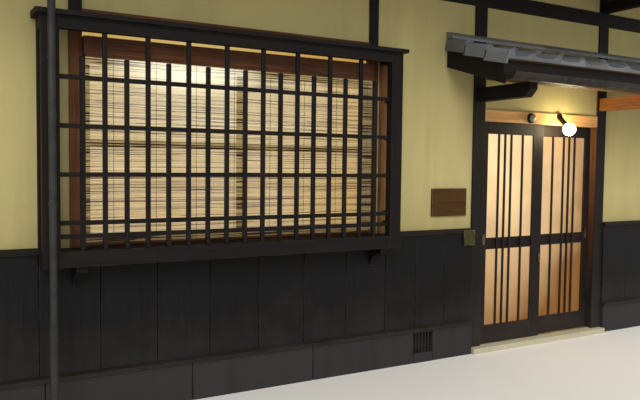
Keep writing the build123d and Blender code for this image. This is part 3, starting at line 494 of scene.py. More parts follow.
@dataclass(frozen=True)
class StuddedTimber(Timber):
    """Dark timber, of which the parts that light from inside or from a lamp falls on are browner."""

    brown: Colour = paint(112, 70, 42)
    deep: Colour = paint(62, 38, 24)
    middle: float = -1.26  # the X halfway between the window's two studs
    reach: Span = (0.98, 1.10)  # how far from there the brown parts are
    top: float = 2.36
    behind: float = -9.0  # nearer to the street than this Y, they are dark
    jamb: Span = (3.515, 3.530)  # how far from there the side of the entrance's right post is
    jamb_behind: float = FRONT + 0.004
    jamb_fade: Span = (0.3, 1.5)  # the heights between which that side turns from dark to brown

    def tones(self, w: Wiring, place: Socket) -> tuple[Feed, Feed]:
        """The light and dark tones of the grain, with the brown parts among them.

        Args:
            w: the wiring of the material.
            place: the point on the timber.

        Returns:
            The light tone and the dark one.
        """
        away = w.maths("ABSOLUTE", w.maths("SUBTRACT", w.along(place, "X"), self.middle))
        depth, height = w.along(place, "Y"), w.along(place, "Z")
        beside = self.within(w, away, self.reach, depth, self.behind)
        jamb = self.within(w, away, self.jamb, depth, self.jamb_behind)
        brown = w.maths("MAXIMUM", beside, w.times(jamb, w.remap(height, self.jamb_fade)))
        brown = w.times(brown, w.maths("LESS_THAN", height, self.top))
        brown = w.times(brown, w.maths("LESS_THAN", depth, 0.0))
        light = w.mix(brown, opaque(self.light), opaque(self.brown))
        return light, w.mix(brown, opaque(self.dark), opaque(self.deep))

    @staticmethod
    def within(w: Wiring, away: Socket, reach: Span, depth: Socket, behind: float) -> Socket:
        """A mask of what is inside a reach and behind a Y.

        Args:
            w: the wiring of the material.
            away: the distance from the middle.
            reach: its lowest and highest value.
            depth: the point's Y.
            behind: the lowest Y.

        Returns:
            The mask, 0 or 1.
        """
        inside = w.times(w.maths("GREATER_THAN", away, reach[0]), w.maths("LESS_THAN", away, reach[1]))
        return w.times(inside, w.maths("GREATER_THAN", depth, behind))


@dataclass(frozen=True)
class Plaster(Finish):
    """Clay or lime plaster, laid by trowel and marked by rain."""

    colour: Colour
    stain: Colour
    stained: float = 0.4
    foot: float = 1.03  # where the plaster starts
    relief: float = 0.35

    FINENESS = 240.0
    CLOUDS = (0.93, 1.05)  # its darkest and its lightest shade
    SANDY = 0.10  # how much the grains have of the stain's tone
    SPLASH = 0.3  # how high above its foot the rain throws dirt
    SPLASHED = 0.3
    ROUGHNESS = 0.93
    DEPTH = 0.003

    def wire(self, w: Wiring, shader: Node) -> None:
        """Grit, clouds of tone, rain runs and splashes at the foot.

        Args:
            w: the wiring of the material.
            shader: its Principled BSDF.
        """
        place = w.place()
        stain = opaque(self.stain)
        grit = w.effect(Effects.grit(), Vector=place, Fineness=self.FINENESS)
        clouds = w.remap(w.noise(place, scale=1.3, swirl=0.5), MIDDLE, self.CLOUDS)
        sandy = w.mix(w.times(grit.outputs["Mask"], self.SANDY), w.scaled(self.colour, clouds), stain)
        runs = w.effect(Effects.rain_runs(), Vector=place).outputs[0]
        run = w.mix(w.times(runs, self.stained), sandy, stain)
        above = w.from_point(place, (0.0, 0.0, self.foot))
        splash = w.effect(Effects.ground_splash(), Vector=above, Reach=self.SPLASH).outputs[0]
        w.feed(shader.inputs["Base Color"], w.mix(w.times(splash, self.SPLASHED), run, stain))
        shader.inputs["Roughness"].default_value = self.ROUGHNESS
        self.raise_by(w, shader, grit.outputs["Height"], self.relief, self.DEPTH)


@dataclass(frozen=True)
class Stone(Finish):
    """Cut and dressed stone."""

    colour: Colour
    fleck: Colour
    roughness: float = 0.8
    relief: float = 0.6
    gloss: float = 0.3

    FINENESS = 160.0
    BLOCK_SPREAD = 0.3  # how much the stones of a piece differ in tone
    FLECKED = 0.45
    DAMP = (0.5, 0.55)  # how strongly damp runs show, and how bright they are beside dry stone
    ROUGH_SPREAD = 0.12
    DEPTH = 0.005

    def wire(self, w: Wiring, shader: Node) -> None:
        """Flecks, a shade for each block, damp runs and tool marks.

        Args:
            w: the wiring of the material.
            shader: its Principled BSDF.
        """
        place = w.place()
        flecks = w.effect(Effects.grit(), Vector=place, Fineness=self.FINENESS)
        shade = w.effect(Effects.own_tone(), Spread=self.BLOCK_SPREAD).outputs[0]
        base = w.scaled(self.colour, shade)
        speckled = w.mix(w.times(flecks.outputs["Mask"], self.FLECKED), base, opaque(self.fleck))
        damp = w.times(w.effect(Effects.rain_runs(), Vector=place).outputs[0], self.DAMP[0])
        w.feed(shader.inputs["Base Color"], w.mix(damp, speckled, darker(self.colour, self.DAMP[1])))
        spread = (self.roughness - self.ROUGH_SPREAD, self.roughness + self.ROUGH_SPREAD)
        w.feed(shader.inputs["Roughness"], w.remap(flecks.outputs["Mask"], FULL, spread))
        shader.inputs["Specular IOR Level"].default_value = self.gloss
        self.raise_by(w, shader, flecks.outputs["Height"], self.relief, self.DEPTH)


@dataclass(frozen=True)
class RoofTile(Finish):
    """Smoked clay tile: silver grey, with a tone for each tile and a soft sheen."""

    start: Span  # X and distance from the middle of the house, where the first tile begins
    step: Span  # one tile's width, and how far apart the courses are on plan
    colour: Colour = paint(72, 75, 78)
    sheen: Colour = paint(112, 115, 118)
    dirt: Colour = paint(56, 54, 49)

    OWN = 0.5  # how much of a tone is the tile's own
    FIRED = 0.55  # and how much comes from the clouds of the firing
    TONES = (0.15, 0.9)  # the shares at which a tile is dullest and most silvery
    DIRTY = 0.35
    ROUGH = (0.62, 0.4)  # of a dull tile and of a silvery one
    ROUGH_TONES = (0.2, 0.9)
    FINENESS = 120.0
    GRIT = (0.35, 0.002)  # how strongly the grit shows, and how deep it is

    def wire(self, w: Wiring, shader: Node) -> None:
        """Firing clouds, a tone for each tile, dirt in rain runs and fine grit.

        Args:
            w: the wiring of the material.
            shader: its Principled BSDF.
        """
        place = w.place()
        away = w.maths("ABSOLUTE", w.along(place, "Y"))
        across = w.maths("SUBTRACT", w.along(place, "X"), self.start[0])
        down = w.maths("SUBTRACT", away, self.start[1])
        laid = w.node("ShaderNodeCombineXYZ", {0: across, 1: down}).outputs[0]
        tone = w.effect(Effects.tile_tone(), Vector=laid, Pitch=(*self.step, 1.0)).outputs[0]
        fired = w.noise(place, scale=6.0, swirl=0.6)
        share = w.maths("ADD", w.times(tone, self.OWN), w.times(fired, self.FIRED))
        base = w.mix(w.remap(share, self.TONES), opaque(self.colour), opaque(self.sheen))
        runs = w.effect(Effects.rain_runs(), Vector=place).outputs[0]
        w.feed(shader.inputs["Base Color"], w.mix(w.times(runs, self.DIRTY), base, opaque(self.dirt)))
        grit = w.effect(Effects.grit(), Vector=place, Fineness=self.FINENESS)
        w.feed(shader.inputs["Roughness"], w.remap(share, self.ROUGH_TONES, self.ROUGH))
        self.raise_by(w, shader, grit.outputs["Height"], *self.GRIT)


@dataclass(frozen=True)
class Metal(Finish):
    """Sheet metal or castings, rubbed bright at the edges and dull elsewhere."""

    colour: Colour
    patina: Colour
    metallic: float = 0.8
    roughness: float = 0.42

    CLOUDS = (0.4, 0.62)  # the part of a noise that is a cloud of patina
    CLOUDED = 0.7  # how dull such a cloud is
    RUBBED = 0.002  # how far in from an edge it is rubbed
    WEAR = 0.5
    BRIGHT = 1.8  # how much brighter rubbed metal is
    DULLER = 0.25  # how much rougher the patina is
    FINENESS = 300.0
    GRIT = (0.15, 0.001)  # how strongly the grit shows, and how deep it is

    def wire(self, w: Wiring, shader: Node) -> None:
        """Patina in clouds and runs, and bright edges.

        Args:
            w: the wiring of the material.
            shader: its Principled BSDF.
        """
        place = w.place()
        clouds = w.remap(w.noise(place, scale=9.0, detail=5.0, swirl=0.8), self.CLOUDS)
        runs = w.effect(Effects.rain_runs(), Vector=place).outputs[0]
        dull = w.maths("MAXIMUM", w.times(clouds, self.CLOUDED), runs)
        base = w.mix(dull, opaque(self.colour), opaque(self.patina))
        edge = w.effect(Effects.edge_wear(), Reach=self.RUBBED, Vector=place).outputs[0]
        bright = tuple(min(1.0, part * self.BRIGHT) for part in self.colour)
        w.feed(shader.inputs["Base Color"], w.mix(w.times(edge, self.WEAR), base, opaque(bright)))
        spread = (self.roughness, self.roughness + self.DULLER)
        w.feed(shader.inputs["Roughness"], w.remap(dull, FULL, spread))
        shader.inputs["Metallic"].default_value = self.metallic
        grit = w.effect(Effects.grit(), Vector=place, Fineness=self.FINENESS)
        self.raise_by(w, shader, grit.outputs["Height"], *self.GRIT)


@dataclass(frozen=True)
class LitGlass(Finish):
    """Frosted glass with the room's lamps behind it."""

    near: Colour  # the glow beside the lamp
    far: Colour
    lamp: tuple[float, float, float]
    reach: float
    strength: float
    body: Colour = paint(120, 108, 88)
    upper: Colour = paint(214, 190, 128)  # what is left of the glow above the window's head
    head: float = 2.25
    gloss: float = 0.3

    UNEVEN = (-0.12, 0.12)
    FINENESS = 60.0
    RIPPLES = (0.25, 0.001)  # how strongly the glass's ripples show, and how deep they are
    ROUGHNESS = 0.3

    def wire(self, w: Wiring, shader: Node) -> None:
        """A glow that fades with the distance from the lamp, uneven as rolled glass is.

        Args:
            w: the wiring of the material.
            shader: its Principled BSDF.
        """
        place = w.place()
        apart = w.length(w.from_point(place, self.lamp))
        uneven = w.remap(w.noise(place, scale=2.2, detail=3.0), MIDDLE, self.UNEVEN)
        share = w.maths("ADD", w.maths("DIVIDE", apart, self.reach), uneven)
        glow = w.mix(w.remap(share, FULL), opaque(self.near), opaque(self.far))
        above = w.remap(w.along(place, "Z"), (self.head, self.head + BLUR))
        w.feed(shader.inputs["Emission Color"], w.mix(above, glow, opaque(self.upper), "MULTIPLY"))
        shader.inputs["Emission Strength"].default_value = self.strength
        ripple = w.noise(w.scaled(place, self.FINENESS), scale=1.0, detail=2.0)
        w.feed(shader.inputs["Base Color"], w.mix(ripple, opaque(self.body), opaque(self.far)))
        shader.inputs["Roughness"].default_value = self.ROUGHNESS
        shader.inputs["Specular IOR Level"].default_value = self.gloss
        self.raise_by(w, shader, ripple, *self.RIPPLES)


@dataclass(frozen=True)
class ClearGlass(Finish):
    """Old window glass, thin and slightly wavy."""

    tint: Colour = paint(226, 236, 232)

    DUST = (0.45, 0.75)  # the part of a noise that is a patch of dust
    DUSTY = 0.75  # how bright the glass is there
    ROUGH = (0.03, 0.2)  # clean and dusty
    IOR = 1.5
    WAVES = (0.2, 0.004)  # how strongly its waves show, and how deep they are

    def wire(self, w: Wiring, shader: Node) -> None:
        """Clear, with slow waves in it and dust in patches.

        Args:
            w: the wiring of the material.
            shader: its Principled BSDF.
        """
        place = w.place()
        dust = w.remap(w.noise(place, scale=11.0, detail=5.0), self.DUST)
        w.feed(shader.inputs["Base Color"], w.mix(dust, opaque(self.tint), darker(self.tint, self.DUSTY)))
        w.feed(shader.inputs["Roughness"], w.remap(dust, FULL, self.ROUGH))
        shader.inputs["Transmission Weight"].default_value = 1.0
        shader.inputs["IOR"].default_value = self.IOR
        self.raise_by(w, shader, w.noise(place, scale=4.0, detail=1.0), *self.WAVES)


@dataclass(frozen=True)
class Reeds(Finish):
    """Split reeds with a lamp some way behind them."""

    pale: Colour
    tan: Colour
    near: Colour  # the glow in front of the lamp
    far: Colour
    strength: float
    lamp: tuple[float, float, float]
    reach: float = 1.4
    pool: float = 0.22  # within this height of the lamp the glow drowns the reeds
    pool_gain: float = 2.1
    foot: float = 1.14  # below this height the window's sill is behind them
    jamb: float = -0.345  # to the right of this X a stud is behind them
    shade: Span = (0.45, 0.22)  # how much of the glow is left at the foot and at the jamb

    SPREAD = (0.62, 0.0, 1.0)  # the glow is wider than it is tall
    POOL_SPREAD = (0.40, 0.0, 1.0)
    POOL_CORE = 0.35  # where the pool is brightest, as a share of its size
    PATCHY = (-0.1, 0.1)
    FADE = (0.05, 0.9)  # the shares of the reach between which the glow fades
    REED_SPREAD = 0.6  # how much the reeds differ in tone
    TONES = (0.50, 0.60)
    STREAKS = (2.2, 1.0, 75.0)  # how much the streaks' pattern is packed along each axis
    ROUGH = (0.45, 0.7)
    RELIEF = (0.4, 0.001)  # how strongly the streaks show, and how deep they are

    def wire(self, w: Wiring, shader: Node) -> None:
        """A tone for each reed, streaks along it, and the glow that comes through.

        Args:
            w: the wiring of the material.
            shader: its Principled BSDF.
        """
        place = w.place()
        tone = w.effect(Effects.own_tone(), Spread=self.REED_SPREAD).outputs[0]
        streaks = w.noise(w.packed(place, self.STREAKS), scale=1.0, swirl=0.4)
        share = w.times(tone, streaks)
        colour = w.mix(w.remap(share, self.TONES), opaque(self.pale), opaque(self.tan))
        w.feed(shader.inputs["Base Color"], colour)
        through = w.mix(1.0, colour, self.glow(w, place), "MULTIPLY")
        bright = w.mix(1.0, through, self.drowned(w, place), "ADD")
        at_foot = w.remap(w.along(place, "Z"), (self.foot - BLUR, self.foot + BLUR), (self.shade[0], 1.0))
        at_jamb = w.remap(w.along(place, "X"), (self.jamb - BLUR, self.jamb + BLUR), (1.0, self.shade[1]))
        w.feed(shader.inputs["Emission Color"], w.scaled(bright, w.times(at_foot, at_jamb)))
        shader.inputs["Emission Strength"].default_value = self.strength
        w.feed(shader.inputs["Roughness"], w.remap(streaks, MIDDLE, self.ROUGH))
        self.raise_by(w, shader, streaks, *self.RELIEF)

    def glow(self, w: Wiring, place: Socket) -> Socket:
        """The glow behind the reeds, which fades with the distance from the lamp.

        Args:
            w: the wiring of the material.
            place: the point on the blind.

        Returns:
            Its colour.
        """
        apart = w.length(w.packed(w.from_point(place, self.lamp), self.SPREAD))
        patchy = w.remap(w.noise(place, scale=2.6, detail=3.0), MIDDLE, self.PATCHY)
        share = w.remap(w.maths("ADD", w.maths("DIVIDE", apart, self.reach), patchy), self.FADE)
        return w.mix(share, opaque(self.near), opaque(self.far))

    def drowned(self, w: Wiring, place: Socket) -> Socket:
        """The bright pool right in front of the lamp.

        Args:
            w: the wiring of the material.
            place: the point on the blind.

        Returns:
            Its colour.
        """
        apart = w.length(w.packed(w.from_point(place, self.lamp), self.POOL_SPREAD))
        core = self.pool * self.POOL_CORE
        return w.scaled(self.near, w.remap(apart, (self.pool, core), (0.0, self.pool_gain)))


@dataclass(frozen=True)
class Boards(Finish):
    """The bare name board, and the bare plate with a rubbed edge below it."""

    light: Colour = paint(74, 50, 18)
    dark: Colour = paint(48, 31, 9)
    plate: Colour = paint(62, 60, 30)
    rubbed: Colour = paint(150, 140, 104)
    plate_top: float = 1.06
    gloss: float = 0.1

    FINENESS = 90.0
    MATT = 0.7  # how bright the plate is where its lacquer is dull
    RUBBED = 0.006  # how far in from an edge they are rubbed
    ROUGH = (0.4, 0.6)
    RELIEF = (0.3, 0.002)  # how strongly the grain shows, and how deep it is

    def wire(self, w: Wiring, shader: Node) -> None:
        """Wood grain on the board, dull lacquer on the plate and a pale worn edge on both.

        Args:
            w: the wiring of the material.
            shader: its Principled BSDF.
        """
        place = w.place()
        vector = w.packed(place, Grain.ALONG_STREET.value)
        feeds = {"Vector": vector, "Light": opaque(self.light), "Dark": opaque(self.dark)}
        grain = w.effect(Effects.wood_grain(), **feeds)
        lower = w.maths("LESS_THAN", w.along(place, "Z"), self.plate_top)
        grit = w.effect(Effects.grit(), Vector=place, Fineness=self.FINENESS)
        dull = w.mix(grit.outputs["Mask"], opaque(self.plate), darker(self.plate, self.MATT))
        base = w.mix(lower, grain.outputs["Colour"], dull)
        edge = w.effect(Effects.edge_wear(), Reach=self.RUBBED, Vector=place).outputs[0]
        w.feed(shader.inputs["Base Color"], w.mix(edge, base, opaque(self.rubbed)))
        w.feed(shader.inputs["Roughness"], w.remap(grain.outputs["Height"], MIDDLE, self.ROUGH))
        shader.inputs["Specular IOR Level"].default_value = self.gloss
        self.raise_by(w, shader, grain.outputs["Height"], *self.RELIEF)


@dataclass(frozen=True)
class LampGlass(Finish):
    """Opal glass with a warm lamp in it."""

    glow: Colour = paint(255, 236, 190)
    strength: float = 130.0
    out: tuple[Colour, Colour] = (paint(128, 136, 116), paint(164, 170, 146))  # the unlit dome's two tones
    lit_beyond: float = 1.6  # the dome to the left of this X is out

    ROUGH = (0.12, 0.3)

    def wire(self, w: Wiring, shader: Node) -> None:
        """Lit glass in the globe, and grey-green glass in the dome beside it.

        Args:
            w: the wiring of the material.
            shader: its Principled BSDF.
        """
        place = w.place()
        lit = w.maths("GREATER_THAN", w.along(place, "X"), self.lit_beyond)
        cloudy = w.noise(place, scale=30.0, detail=3.0)
        dull = w.mix(cloudy, opaque(self.out[0]), opaque(self.out[1]))
        w.feed(shader.inputs["Base Color"], w.mix(lit, dull, opaque(self.glow)))
        w.feed(shader.inputs["Emission Color"], w.mix(lit, darker(self.glow, 0.0), opaque(self.glow)))
        shader.inputs["Emission Strength"].default_value = self.strength
        w.feed(shader.inputs["Roughness"], w.remap(cloudy, MIDDLE, self.ROUGH))


@dataclass(frozen=True)
class Ground(Finish):
    """The plain pale floor that the house stands on."""

    colour: Colour = paint(226, 223, 216)

    SHADED = 0.96  # how bright it is in its darker clouds
    ROUGHNESS = 0.9

    def wire(self, w: Wiring, shader: Node) -> None:
        """One pale tone with a faint unevenness.

        Args:
            w: the wiring of the material.
            shader: its Principled BSDF.
        """
        clouds = w.noise(w.place(), scale=0.4, detail=3.0)
        shaded = darker(self.colour, self.SHADED)
        w.feed(shader.inputs["Base Color"], w.mix(clouds, opaque(self.colour), shaded))
        shader.inputs["Roughness"].default_value = self.ROUGHNESS


# The light and dark tones of timbers that share them
FRAME_TONES = (paint(30, 24, 20), paint(13, 10, 9))
LATTICE_TONES = (paint(25, 20, 17), paint(10, 8, 8))
DOOR_TONES = (paint(34, 25, 20), paint(14, 10, 8))
RAFTER_TONES = (paint(118, 82, 52), paint(70, 47, 31))

POSTS = StuddedTimber("posts_timber", *FRAME_TONES, Grain.UPRIGHT)
BEAMS = Timber("beams_timber", *FRAME_TONES, Grain.ALONG_STREET)
ARMS = Timber("arms_timber", *FRAME_TONES, Grain.INTO_HOUSE)
LATTICE = Timber("lattice_upright", *LATTICE_TONES, Grain.UPRIGHT, wear=0.25)
LATTICE_RAILS = Timber("lattice_rail", *LATTICE_TONES, Grain.ALONG_STREET, wear=0.25)
BAY_POSTS = StuddedTimber(
    "bay_posts_timber", *LATTICE_TONES, Grain.UPRIGHT, wear=0.25,
    brown=paint(150, 108, 66), deep=paint(104, 70, 42), reach=(0.0, 1.165), behind=FRONT - 0.1,
)
WINDOW_WOOD = Timber("window_wood", paint(100, 62, 38), paint(56, 33, 22), Grain.ALONG_STREET, wear=0.2)
SASH_WOOD = Timber("sash_wood", paint(104, 66, 38), paint(62, 38, 23), Grain.UPRIGHT, wear=0.2)
# Door head: its own pale wood, painted paler still with the entrance lamp's light that falls on it under the
# canopy (painted light)
LAMPLIT_HEAD_WOOD = Timber("door_head_wood_lamplit", paint(214, 166, 108), paint(166, 120, 72), Grain.ALONG_STREET, wear=0.2)
DOOR_WOOD = Timber("door_upright", *DOOR_TONES, Grain.UPRIGHT, splash=0.3)
DOOR_RAILS = Timber("door_rail", *DOOR_TONES, Grain.ALONG_STREET, splash=0.3)
CANOPY_ARMS = StuddedTimber(
    "canopy_arms_timber", *FRAME_TONES, Grain.INTO_HOUSE,
    brown=paint(150, 96, 50), deep=paint(104, 62, 30), middle=0.0, reach=(1.5, 9.0), top=9.0,
)
DADO_WOOD = Timber("dado_wood_planks", paint(20, 19, 20), paint(8, 8, 9), Grain.UPRIGHT, wear=0.3)
ROOF_BOARDS = Timber("roof_board_wood", paint(136, 98, 62), paint(86, 59, 38), Grain.ALONG_STREET)
RAFTER_WOOD = Timber("rafter_wood", *RAFTER_TONES, Grain.INTO_HOUSE)
PURLIN_WOOD = Timber("purlin_wood", *RAFTER_TONES, Grain.ALONG_STREET)
FLOOR_WOOD = Timber("floor_boards", paint(150, 116, 78), paint(108, 78, 50), Grain.ALONG_STREET)
THREAD = Timber("blind_thread", paint(48, 37, 26), paint(26, 20, 15), Grain.UPRIGHT, wear=0.0)
CLAY_PLASTER = Plaster("clay_plaster", paint(176, 164, 110), paint(130, 116, 70), stained=0.35)
PARTY_PLASTER = Plaster(
    "party_wall_plaster", paint(158, 152, 138), paint(108, 102, 90), stained=0.6, foot=0.25, relief=0.6
)
RIDGE_CORE = Plaster("ridge_mortar", paint(196, 192, 180), paint(150, 146, 134), foot=-9.0)
PLINTH_STONE = Stone("plinth_block", paint(34, 33, 33), paint(52, 51, 50))
SILL_STONE = Stone("door_sill_granite", paint(186, 178, 150), paint(140, 134, 112))
EARTH = Stone("beaten_earth", paint(150, 132, 104), paint(118, 102, 80))
COPING_TILE = RoofTile("coping_tile", (0.0, 0.0), (0.3, 0.3))
GUTTER_METAL = Metal("gutter_copper", paint(48, 42, 34), paint(29, 26, 23), metallic=0.6)
PIPE_METAL = Metal("pipe_iron", paint(34, 32, 31), paint(22, 21, 21), metallic=0.2, roughness=0.5)
TRACK_BRASS = Metal("track_brass", paint(190, 158, 92), paint(120, 98, 60))
LAMP_METAL = Metal("lamp_iron", paint(58, 54, 48), paint(36, 34, 32))
PULL_METAL = Metal("pull_metal", paint(104, 92, 70), paint(54, 48, 40))
WINDOW_GLOW = LitGlass(
    "lit_window_pane", near=paint(255, 252, 232), far=paint(226, 188, 120),
    lamp=(-1.56, FRONT + 0.05, 2.1), reach=1.6, strength=0.9,
)
DOOR_GLOW = LitGlass(
    "lit_door_pane", near=paint(255, 222, 166), far=paint(100, 60, 14),
    lamp=(0.95, FRONT, 1.7), reach=1.6, strength=1.15, body=paint(58, 46, 30),
)
REED = Reeds(
    "reed", pale=paint(186, 168, 120), tan=paint(46, 30, 14), near=paint(255, 252, 232),
    far=paint(182, 134, 70), strength=0.41, lamp=(-1.64, FRONT, 2.16),
)
CLEAR_GLASS = ClearGlass("window_pane")
LAMP_GLASS = LampGlass("lamp_opal")
NAME_BOARD = Boards("name_board")
FLOOR = Ground("pale_floor")


# Meshes


def round_marks(count: int) -> list[Span]:
    """Even marks round a circle of radius 1, as pairs of its two directions.

    Args:
        count: how many there are.

    Returns:
        The marks, in order.
    """
    turns = [2 * math.pi * i / count for i in range(count)]
    return [(math.cos(turn), math.sin(turn)) for turn in turns]


class Sketch:
    """Points and faces of one mesh, gathered before its object is made."""

    SEED = 11
    LEVEL = 0.9  # a path that runs along X more than this takes its sides from the vertical
    STEPS = (12, 6, 3)  # from one corner's points to the next corner's in a block, along X, Y and Z
    SQUARE = ((0, 0), (0, 1), (1, 1), (1, 0))

    def __init__(self) -> None:
        """Starts empty."""
        self.points: list[Vector] = []
        self.faces: list[tuple[int, ...]] = []
        self.coats: list[int] = []
        self.tones: list[float] = []
        self.dice = random.Random(self.SEED)

    def add(self, points: Sequence[Vector], faces: Sequence[Sequence[int]], coat: int = 0) -> None:
        """Adds a closed shape.

        Args:
            points: its corners.
            faces: its faces, as places in points.
            coat: which of the piece's finishes it takes.
        """
        start = len(self.points)
        self.points.extend(Vector(point) for point in points)
        self.faces.extend(tuple(start + corner for corner in face) for face in faces)
        self.coats.extend([coat] * len(faces))
        self.tones.extend([self.dice.random() - 0.5] * len(faces))

    def loft(self, sections: Sequence[Sequence[Vector]], coat: int = 0) -> None:
        """Adds a solid through sections of equal length, closed by its first and last.

        Args:
            sections: the closed outlines that the solid runs through.
            coat: which of the piece's finishes it takes.
        """
        count = len(sections[0])
        faces = []
        for i in range(len(sections) - 1):
            for j in range(count):
                after = (j + 1) % count
                faces.append((i * count + j, i * count + after, (i + 1) * count + after, (i + 1) * count + j))
        faces.append(tuple(range(count)))
        faces.append(tuple(range((len(sections) - 1) * count, len(sections) * count)))
        self.add([point for section in sections for point in section], faces, coat)

    def block(
        self, low: Sequence[float], high: Sequence[float], chamfer: float = 0.002, coat: int = 0
    ) -> None:
        """Adds a squared piece with chamfered edges.

        Args:
            low: its lowest corner.
            high: its highest corner.
            chamfer: how far the edges are taken off.
            coat: which of the piece's finishes it takes.
        """
        ends = (low, high)
        points = []
        for corner in product((0, 1), repeat=3):
            for face_axis in range(3):
                point = [ends[side][axis] for axis, side in enumerate(corner)]
                for axis in range(3):
                    if axis != face_axis:
                        point[axis] += chamfer if corner[axis] == 0 else -chamfer
                points.append(Vector(point))
        faces = [(at, at + 1, at + 2) for at in range(0, len(points), 3)]
        for axis in range(3):
            first, second = (other for other in range(3) if other != axis)
            for side in (0, 1):
                start = side * self.STEPS[axis] + axis
                ring = [start + i * self.STEPS[first] + j * self.STEPS[second] for i, j in self.SQUARE]
                faces.append(tuple(ring))
            for i, j in product((0, 1), repeat=2):
                near = i * self.STEPS[first] + j * self.STEPS[second]
                far = near + self.STEPS[axis]
                faces.append((near + first, far + first, far + second, near + second))
        self.add(points, faces, coat)

    def row(self, axis: int, low: Sequence[float], high: Sequence[float], sizes: Sequence[float]) -> None:
        """Adds a row of blocks with a joint between neighbours.

        Args:
            axis: which of X, Y and Z it runs along, as 0, 1 or 2.
            low: its lowest corner.
            high: its highest corner.
            sizes: about how long a block is, how wide a joint is and how far the edges are taken off.
        """
        length, joint, chamfer = sizes
        for start, end in pairwise(evenly(low[axis], high[axis], length)):
            near, far = list(low), list(high)
            near[axis], far[axis] = start + joint / 2, end - joint / 2
            self.block(near, far, chamfer)

    def tube(self, path: Sequence[Vector], radius: float, sides: int = 8, coat: int = 0) -> None:
        """Adds a round bar along a path.

        Args:
            path: the points of its middle line.
            radius: its radius.
            sides: how many sides it has.
            coat: which of the piece's finishes it takes.
        """
        sections = []
        for i, point in enumerate(path):
            ahead = (path[min(i + 1, len(path) - 1)] - path[max(i - 1, 0)]).normalized()
            level = abs(ahead.x) >= self.LEVEL
            side = ahead.cross(Vector((0, 0, 1))) if level else ahead.orthogonal()
            side.normalize()
            up = side.cross(ahead)
            ring = [side * across + up * rise for across, rise in round_marks(sides)]
            sections.append([point + spoke * radius for spoke in ring])
        self.loft(sections, coat)

    def lathe(self, profile: Sequence[Span], place: Matrix, steps: int = 32, coat: int = 0) -> None:
        """Adds a turned solid.

        Args:
            profile: (radius, height) pairs, from one end of the axis to the other.
            place: where its axis, local Z, and its foot stand.
            steps: how many steps a full turn has.
            coat: which of the piece's finishes it takes.
        """
        sections = []
        for radius, height in profile:
            kept = max(radius, NEEDLE)
            ring = [Vector((kept * across, kept * rise, height)) for across, rise in round_marks(steps)]
            sections.append([place @ point for point in ring])
        self.loft(sections, coat)

    def piece(
        self,
        name: str,
        finishes: Sequence[Finish],
        replaced: Sequence[str] = (),
        body: Body = Body.HOUSE,
    ) -> None:
        """Makes the object, hangs it on its body and hides the nodes that it stands for.

        Args:
            name: the piece's name.
            finishes: its finishes, in the order of the coats.
            replaced: the nodes that it stands for.
            body: the body that it moves with.
        """
        mesh = bpy.data.meshes.new(name)
        mesh.from_pydata([tuple(point) for point in self.points], [], self.faces)
        for finish in finishes:
            mesh.materials.append(finish.material())
        mesh.polygons.foreach_set("material_index", self.coats)
        work = bmesh.new()
        work.from_mesh(mesh)
        bmesh.ops.recalc_face_normals(work, faces=work.faces)
        for face in work.faces:
            face.smooth = True
        for edge in work.edges:
            edge.smooth = edge.is_manifold and edge.calc_face_angle(math.pi) < SOFT_EDGE
        work.to_mesh(mesh)
        work.free()
        mesh.attributes.new(TONE, "FLOAT", "FACE").data.foreach_set("value", self.tones)
        made = bpy.data.objects.new(name, mesh)
        bpy.context.scene.collection.objects.link(made)
        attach(made, body.value)
        if replaced:
            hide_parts(*replaced)
        log.info("%s: %d faces", name, len(self.faces))


def dress(finish: Finish, *nodes: str) -> None:
    """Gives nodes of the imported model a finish.

    Args:
        finish: what they get.
        *nodes: their names.
    """
    for node in nodes:
        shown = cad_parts[node]
        shown.data.materials.clear()
        shown.data.materials.append(finish.material())
        log.info("%s: %s", node, finish.name)


# Sub-assemblies


